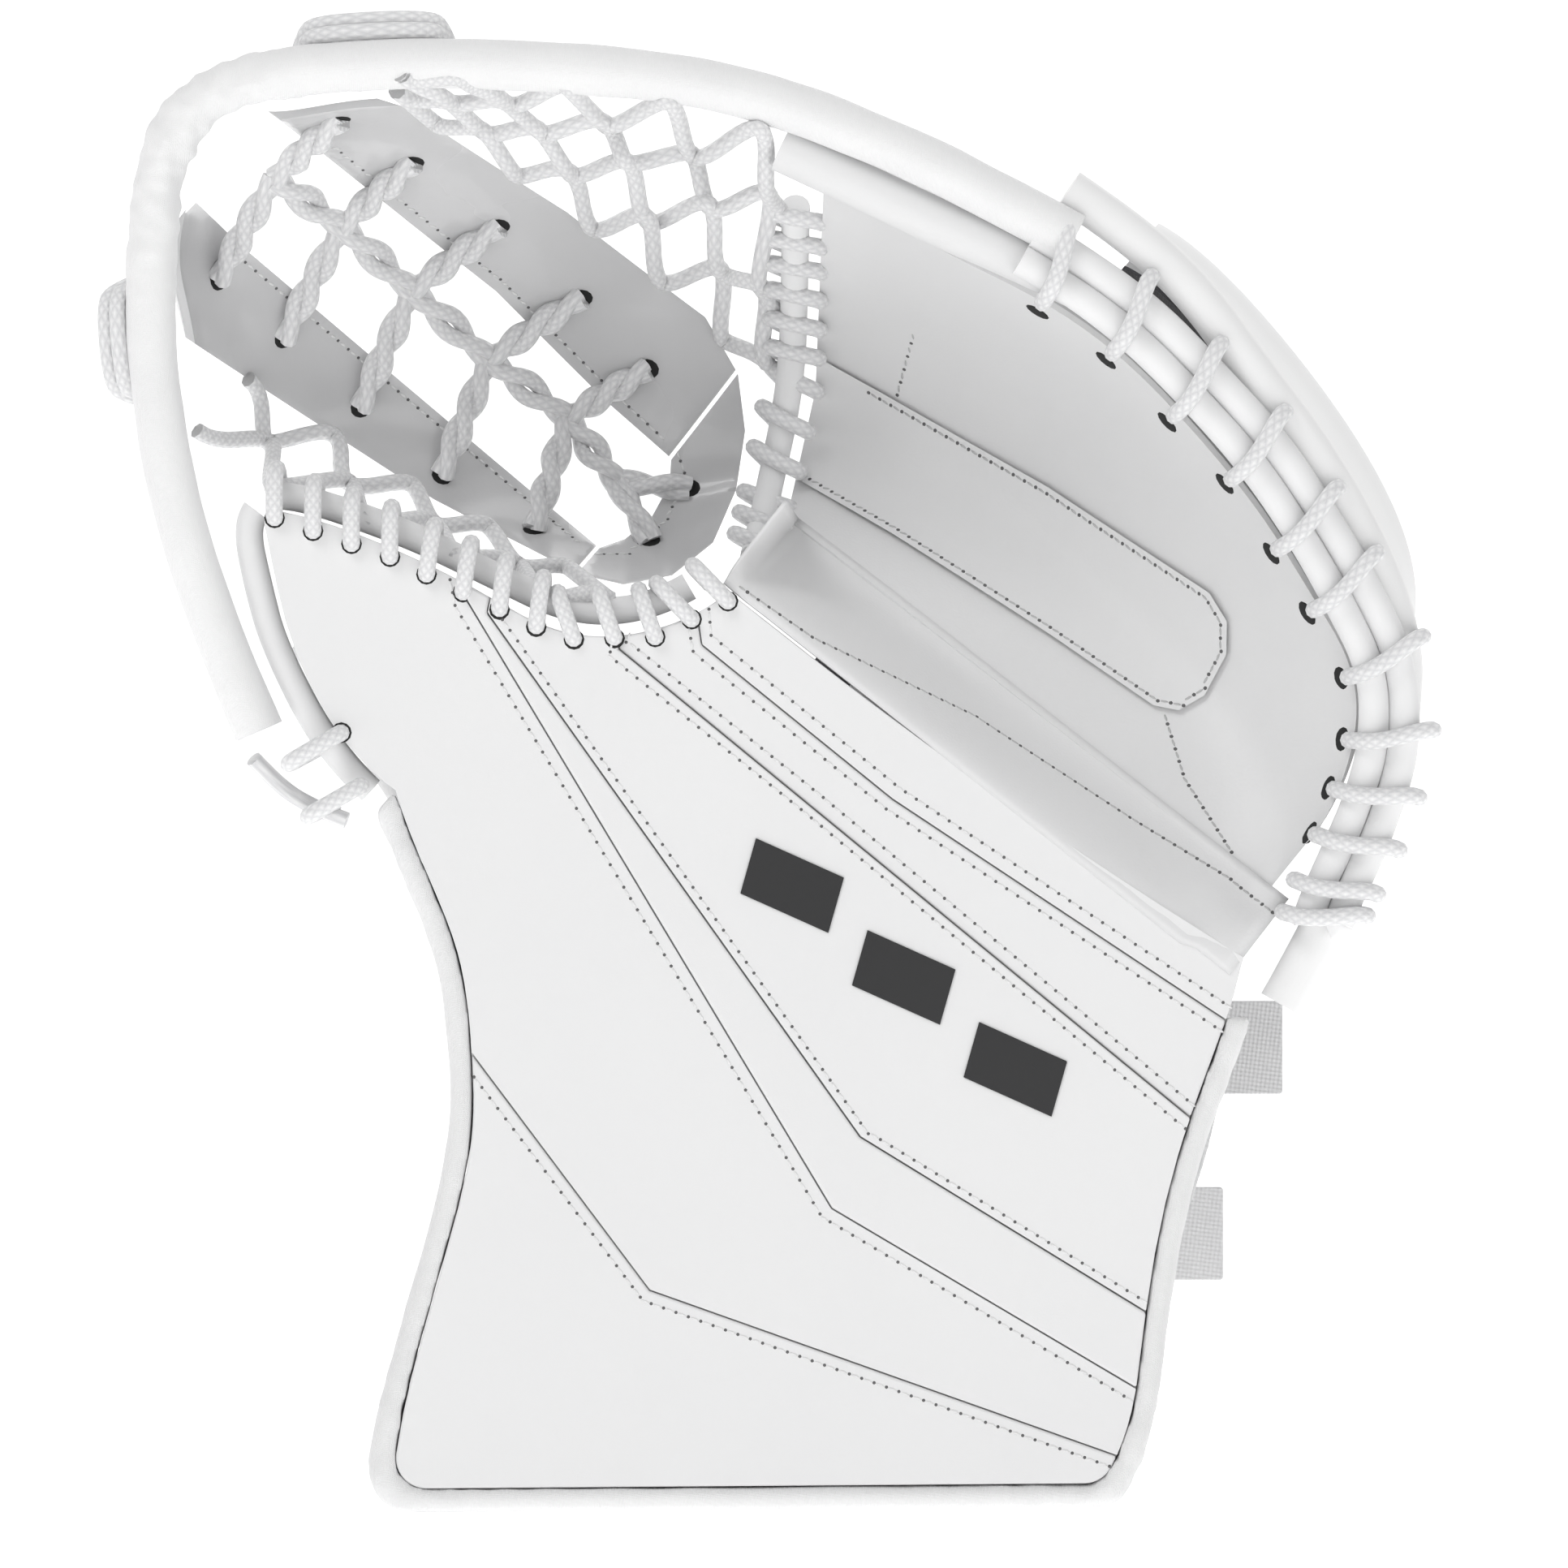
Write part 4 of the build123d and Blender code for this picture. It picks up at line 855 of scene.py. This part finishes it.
roll("rim_roll_inner", rim_route(6.5, 3.0), rim_roll_width, "hand", ["rim_roll_palm"])
roll("rim_roll_outer", rim_route(14.3, 3.0), rim_roll_width, "hand", ["rim_roll_finger"])
wraps = []
hole_shades = bmesh.new()
for i in range(1, len(rim_line) - 1):
    s, t = rim_line[i]
    direction = (at(*rim_line[i + 1]) - at(*rim_line[i - 1])).normalized()
    outward = (-back).cross(direction).normalized()
    inner = at(s, t, rim_depth(s))
    middle = inner + outward * 10.4 * mm - back * 9.4 * mm - direction * 1.5 * mm
    outer = inner + outward * 22.0 * mm - direction * 5 * mm
    wraps.append(run([
        inner + back * 3 * mm, inner - back * 4 * mm, inner - back * 9.2 * mm + outward * 4.5 * mm, middle,
        outer - back * 8.6 * mm - outward * 3 * mm, outer - back * 3 * mm,
        outer + back * 6 * mm - outward * 2 * mm,
    ]))
    hole(hole_shades, inner - outward * 1.4 * mm, palm_tree, 7 * mm)
piece("rim_wraps", gather(wraps), [lace_white], "lace", "hand", ["rim_lace"])
# Painted shade in the rim's lace holes.
piece("rim_lace_hole_shade", hole_shades, [painted_hole_shade], "palm_leather", "hand")

# ------------------------------------------------------------ bead round the pocket
# A fabric covered roll runs in one piece from the thumb round the pocket's corner to the
# finger rim; its cover creases where it turns.
bead_fabric = woven("bead_fabric", (0.78, 0.78, 0.785), (0.84, 0.84, 0.84), 0.62, 0.75 * mm, 0.08 * mm)
bead_thumb_st = [(68.4, -29.4), (75.6, -25.8), (82.2, -21.9), (88.8, -16.5), (93.6, -11.7), (97.6, -6.4)]
bead_finger_st = [
    (100.2, 2.3), (97.6, 5.7), (92.1, 10.5), (85.2, 15.6), (75.4, 21.8), (67.3, 25.6), (58.2, 28.0),
    (52.5, 29.2), (48.6, 29.8), (44.0, 30.6),
]
bead_start = bead_thumb_st[0][0]
bead_start_depth = 5
bead_points = [
    at(s, t, bead_start_depth * (1 - (s - bead_start) / (100 - bead_start))) for s, t in bead_thumb_st
]
bead_points += [at(100.3, -2.2, -2)]
bead_points += [at(s, t, rim_depth(s) - 3) for s, t in bead_finger_st]
bead_width = 13 * mm
bm = gather([run(bead_points, bead_width, order=4, steps=16, sides=7)])
corner = at(97.5, -0.5, -2)
rumpled(bm, 1.6 * mm, 260, stretch=(1, 0.5, 1), spots=[(corner, 0.05)])
rumpled(bm, 0.35 * mm, 70)
bead = piece(
    "pocket_bead", bm, [bead_fabric], "bead_fabric", None, ["pocket_bead_thumb", "pocket_bead_finger"],
)


def folds(made):
    """The piece's transform is baked into its mesh."""
    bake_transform(made)


folds(bead)


def loops(name, points, node_name):
    """Lace that comes up behind the bead, lies along its outer side and goes back down."""
    start, end = points
    direction = (end - start).normalized()
    outward = (-back).cross(direction).normalized()
    rings = []
    for stand, reach in ((2.4, 0.0), (5.6, 3.0)):
        top = outward * (bead_width / 2 + stand * mm) + back * (1.5 + reach) * mm
        low = back * (bead_width / 2 + 3 * mm) - outward * 3 * mm
        rings.append(run([
            start + low - direction * reach * mm, start + top * 0.8 + back * 3 * mm,
            start + top + direction * 5 * mm, end + top - direction * 5 * mm, end + top * 0.8 + back * 3 * mm,
            end + low + direction * reach * mm,
        ]))
    made = piece(name, gather(rings), [lace_white], "lace", None, [node_name])
    folds(made)


thumb_loop_ends = [at(89.4, -15.6), at(94.8, -10.3)]
finger_loop_ends = [at(s, t, rim_depth(s) - 3) for s, t in ((95.6, 7.6), (87.6, 13.9))]
loops("bead_loops_thumb", thumb_loop_ends, "bead_lace_thumb")
loops("bead_loops_finger", finger_loop_ends, "bead_lace_finger")

# ------------------------------------------------------------ leather straps of the pocket
# Two glossy straps, two plies each, run from the palm to the corner and join in a broad
# base; each has a row of punched holes and a stitched inner edge.
strap_leather = grained(
    "strap_leather", (0.54, 0.54, 0.545), (0.62, 0.62, 0.625), 0.24, 1.2 * mm, 0.05 * mm, 0.55, coat=0.35,
)
strap_nodes = ["pocket_strap_thumb", "pocket_strap_finger", "pocket_strap_base"]
strap_tree = surface(strap_nodes)
for node_name in strap_nodes:
    bm = eased(copied(node_name), 0.5 * mm, 2, 50, 0.5)
    folds(piece(node_name + "_leather", bm, [strap_leather], "strap_leather", None, [node_name]))
thumb_holes = [(92.2, -7.0), (86.0, -7.4), (78.6, -7.8), (70.7, -8.0), (62.6, -7.0)]
finger_holes = [(91.6, 6.6), (85.9, 7.6), (78.4, 8.0), (70.5, 7.8), (63.4, 6.8)]
base_holes = [(55.2, -2.6), (55.4, 2.0)]
hole_shades = bmesh.new()
for s, t in thumb_holes + finger_holes + base_holes:
    hole(hole_shades, at(s, t), strap_tree, 6 * mm)
# Painted shade in the straps' punched holes.
folds(piece("strap_hole_shade", hole_shades, [painted_hole_shade], "strap_leather"))
strap_rows = [
    [(59, -5.8), (92, -4.9)], [(59, 3.6), (64.3, 4.0), (75.9, 5.2), (92.3, 5.0)],
    [(58, -5.9), (56.0, -4.4), (55.3, -1.0), (56.0, 2.4), (58, 3.6)],
]
bm = bmesh.new()
for points in strap_rows:
    stitches(bm, seam(points), strap_tree)
folds(piece("strap_stitching", bm, [thread_white, needle_hole_shade], "strap_leather"))

# ------------------------------------------------------------ laced web of the pocket
# Lace is knotted into an open web: twisted pairs run down the middle and out to the straps,
# and looser diamonds close the two sides.
def twisted(a, b, turns=1.0, spread=2.6 * mm, bow=1.5 * mm):
    """Two strands that wind round each other from a to b."""
    direction = (b - a).normalized()
    side = direction.cross(back).normalized()
    lift = side.cross(direction)
    steps = 9
    strands = []
    for start in (0, math.pi):
        points = []
        for i in range(steps + 1):
            share = i / steps
            angle = start + 2 * math.pi * turns * share
            reach = spread * (0.55 + 0.45 * math.sin(math.pi * share))
            points.append(
                a.lerp(b, share) + side * (math.cos(angle) * reach) + lift * (math.sin(angle) * reach * 0.7)
                - back * (bow * math.sin(math.pi * share))
            )
        strands.append(run(points, order=4, steps=4, sides=2))
    return strands


net_tree = surface(["pocket_net_centre"])
chain = [(93.1, 0.8), (87.4, 1.2), (80.7, 0.8), (73.2, 0.4), (65.9, 0.6), (60.0, -0.8)]
knots = [near(s, t, net_tree, -2.2 * mm) for s, t in chain]
strands = []
for a, b in zip(knots, knots[1:]):
    strands += twisted(a, b, 1.0)
for knot, thumb_hole, finger_hole in zip(knots, thumb_holes, finger_holes):
    strands += twisted(knot, near(*thumb_hole, strap_tree, 0.5 * mm), 1.5, 2.3 * mm)
    strands += twisted(knot, near(*finger_hole, strap_tree, 0.5 * mm), 1.5, 2.3 * mm)
for base_hole in base_holes:
    strands += twisted(knots[-1], near(*base_hole, strap_tree, 0.5 * mm), 0.5, 2.3 * mm)
folds(piece("web_middle", gather(strands), [lace_white], "lace", None, ["pocket_net_centre"]))


def line_at(points, s):
    """t on straight lines between (s, t) points."""
    for (s0, t0), (s1, t1) in zip(points, points[1:]):
        if s <= s1:
            return t0 + (t1 - t0) * (s - s0) / (s1 - s0)
    return points[-1][1]


hook_share = 0.03           # each zigzag passes its neighbour by this share of a row
hook_turn = 0.16            # half of the turn at a hook, as a share of a column
hook_lift = 1.8 * mm


def diamonds(rows, low, high, columns, lift):
    """Loose diamond web: zigzag laces that hook round each other where they meet."""
    random.seed(7 + rows)
    made = []
    for row in range(rows):
        points = []
        for i, s in enumerate(columns):
            t0 = line_at(low, s)
            t1 = line_at(high, s)
            share = (row + (-hook_share if (i + row) % 2 else 1 + hook_share)) / rows
            for step in (-hook_turn, hook_turn):
                reach = (columns[1] - columns[0]) * step
                spot = bowl(s + reach + random.uniform(-0.3, 0.3), t0 + (t1 - t0) * share)
                points.append(spot - back * (lift + math.copysign(hook_lift, step)))
        made.append(run(points, order=3, steps=5, sides=2))
    return made


finger_low = [(54.0, 10.0), (62.3, 12.2), (75.0, 11.8), (88.2, 10.2), (93.0, 8.6)]
finger_high = [
    (54.0, 13.0), (58.2, 17.5), (63.0, 23.5), (67.3, 23.2), (75.4, 20.0), (85.2, 14.0), (93.0, 9.6),
]
thumb_low = [(54.0, -8.0), (58.0, -10.2), (69.1, -12.6), (78.1, -15.5), (84.3, -17.0), (91.0, -12.0)]
thumb_high = [(54.0, -6.4), (58.0, -7.6), (70.0, -9.7), (85.0, -11.2), (91.0, -11.4)]
finger_columns = [57 + 3.2 * i for i in range(11)]
thumb_columns = [55 + 3.4 * i for i in range(10)]
web_lift = 2 * mm
finger_web = diamonds(4, finger_low, finger_high, finger_columns, web_lift)
folds(piece("web_finger_side", gather(finger_web), [lace_white], "lace", None, ["pocket_net_finger"]))
thumb_web = diamonds(2, thumb_low, thumb_high, thumb_columns, web_lift)
folds(piece("web_thumb_side", gather(thumb_web), [lace_white], "lace", None, ["pocket_net_thumb"]))

# ------------------------------------------------------------ wrist closure
# Open nylon mesh closes the little finger side; two webbing straps with hook and loop tape
# cross the wrist pad and end in soft pull tabs.
mesh_cloth = woven("mesh_cloth", (0.60, 0.60, 0.61), (0.74, 0.74, 0.74), 0.75, 2.2 * mm, 0.5 * mm)
bm = remeshed("gusset", copied("wrist_gusset"), 0.75 * mm, 2)
rumpled(bm, 2.5 * mm, 45)
gusset = piece("gusset_mesh", bm, [mesh_cloth], "mesh", None, ["wrist_gusset"])
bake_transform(gusset)
stuffed("wrist_cushion", "wrist_pad", coated_nylon, "back_fabric", "hand", voxel=3.5 * mm)
webbing_cloth = woven("webbing_cloth", (0.68, 0.68, 0.69), (0.78, 0.78, 0.78), 0.65, 1.6 * mm, 0.25 * mm)
tape_cloth = woven("tape_cloth", (0.58, 0.58, 0.59), (0.68, 0.68, 0.68), 0.95, 1.1 * mm, 0.4 * mm, 0.6)
tab_rubber = grained("tab_rubber", (0.66, 0.66, 0.67), (0.74, 0.74, 0.74), 0.55, 1.5 * mm, 0.2 * mm)
anchors = piece(
    "strap_anchor_webbing", eased(copied("strap_anchors"), 0.5 * mm), [webbing_cloth], "webbing", "hand",
    ["strap_anchors"],
)
crisp(anchors)
for side in ("lower", "upper"):
    body = "strap_" + side
    closure = (
        ("loop_patch_", "loop_tape_", tape_cloth, "hook_loop", "hand"),
        ("hook_patch_", "hook_tape_", tape_cloth, "hook_loop", body),
        ("wrist_strap_", "wrist_webbing_", webbing_cloth, "webbing", body),
        ("pull_tab_", "tab_", tab_rubber, "tab_rubber", body),
    )
    for node_prefix, piece_prefix, material, slot, rides_on in closure:
        made = piece(
            piece_prefix + side, eased(copied(node_prefix + side), 0.45 * mm), [material], slot, rides_on,
            [node_prefix + side],
        )
        crisp(made)
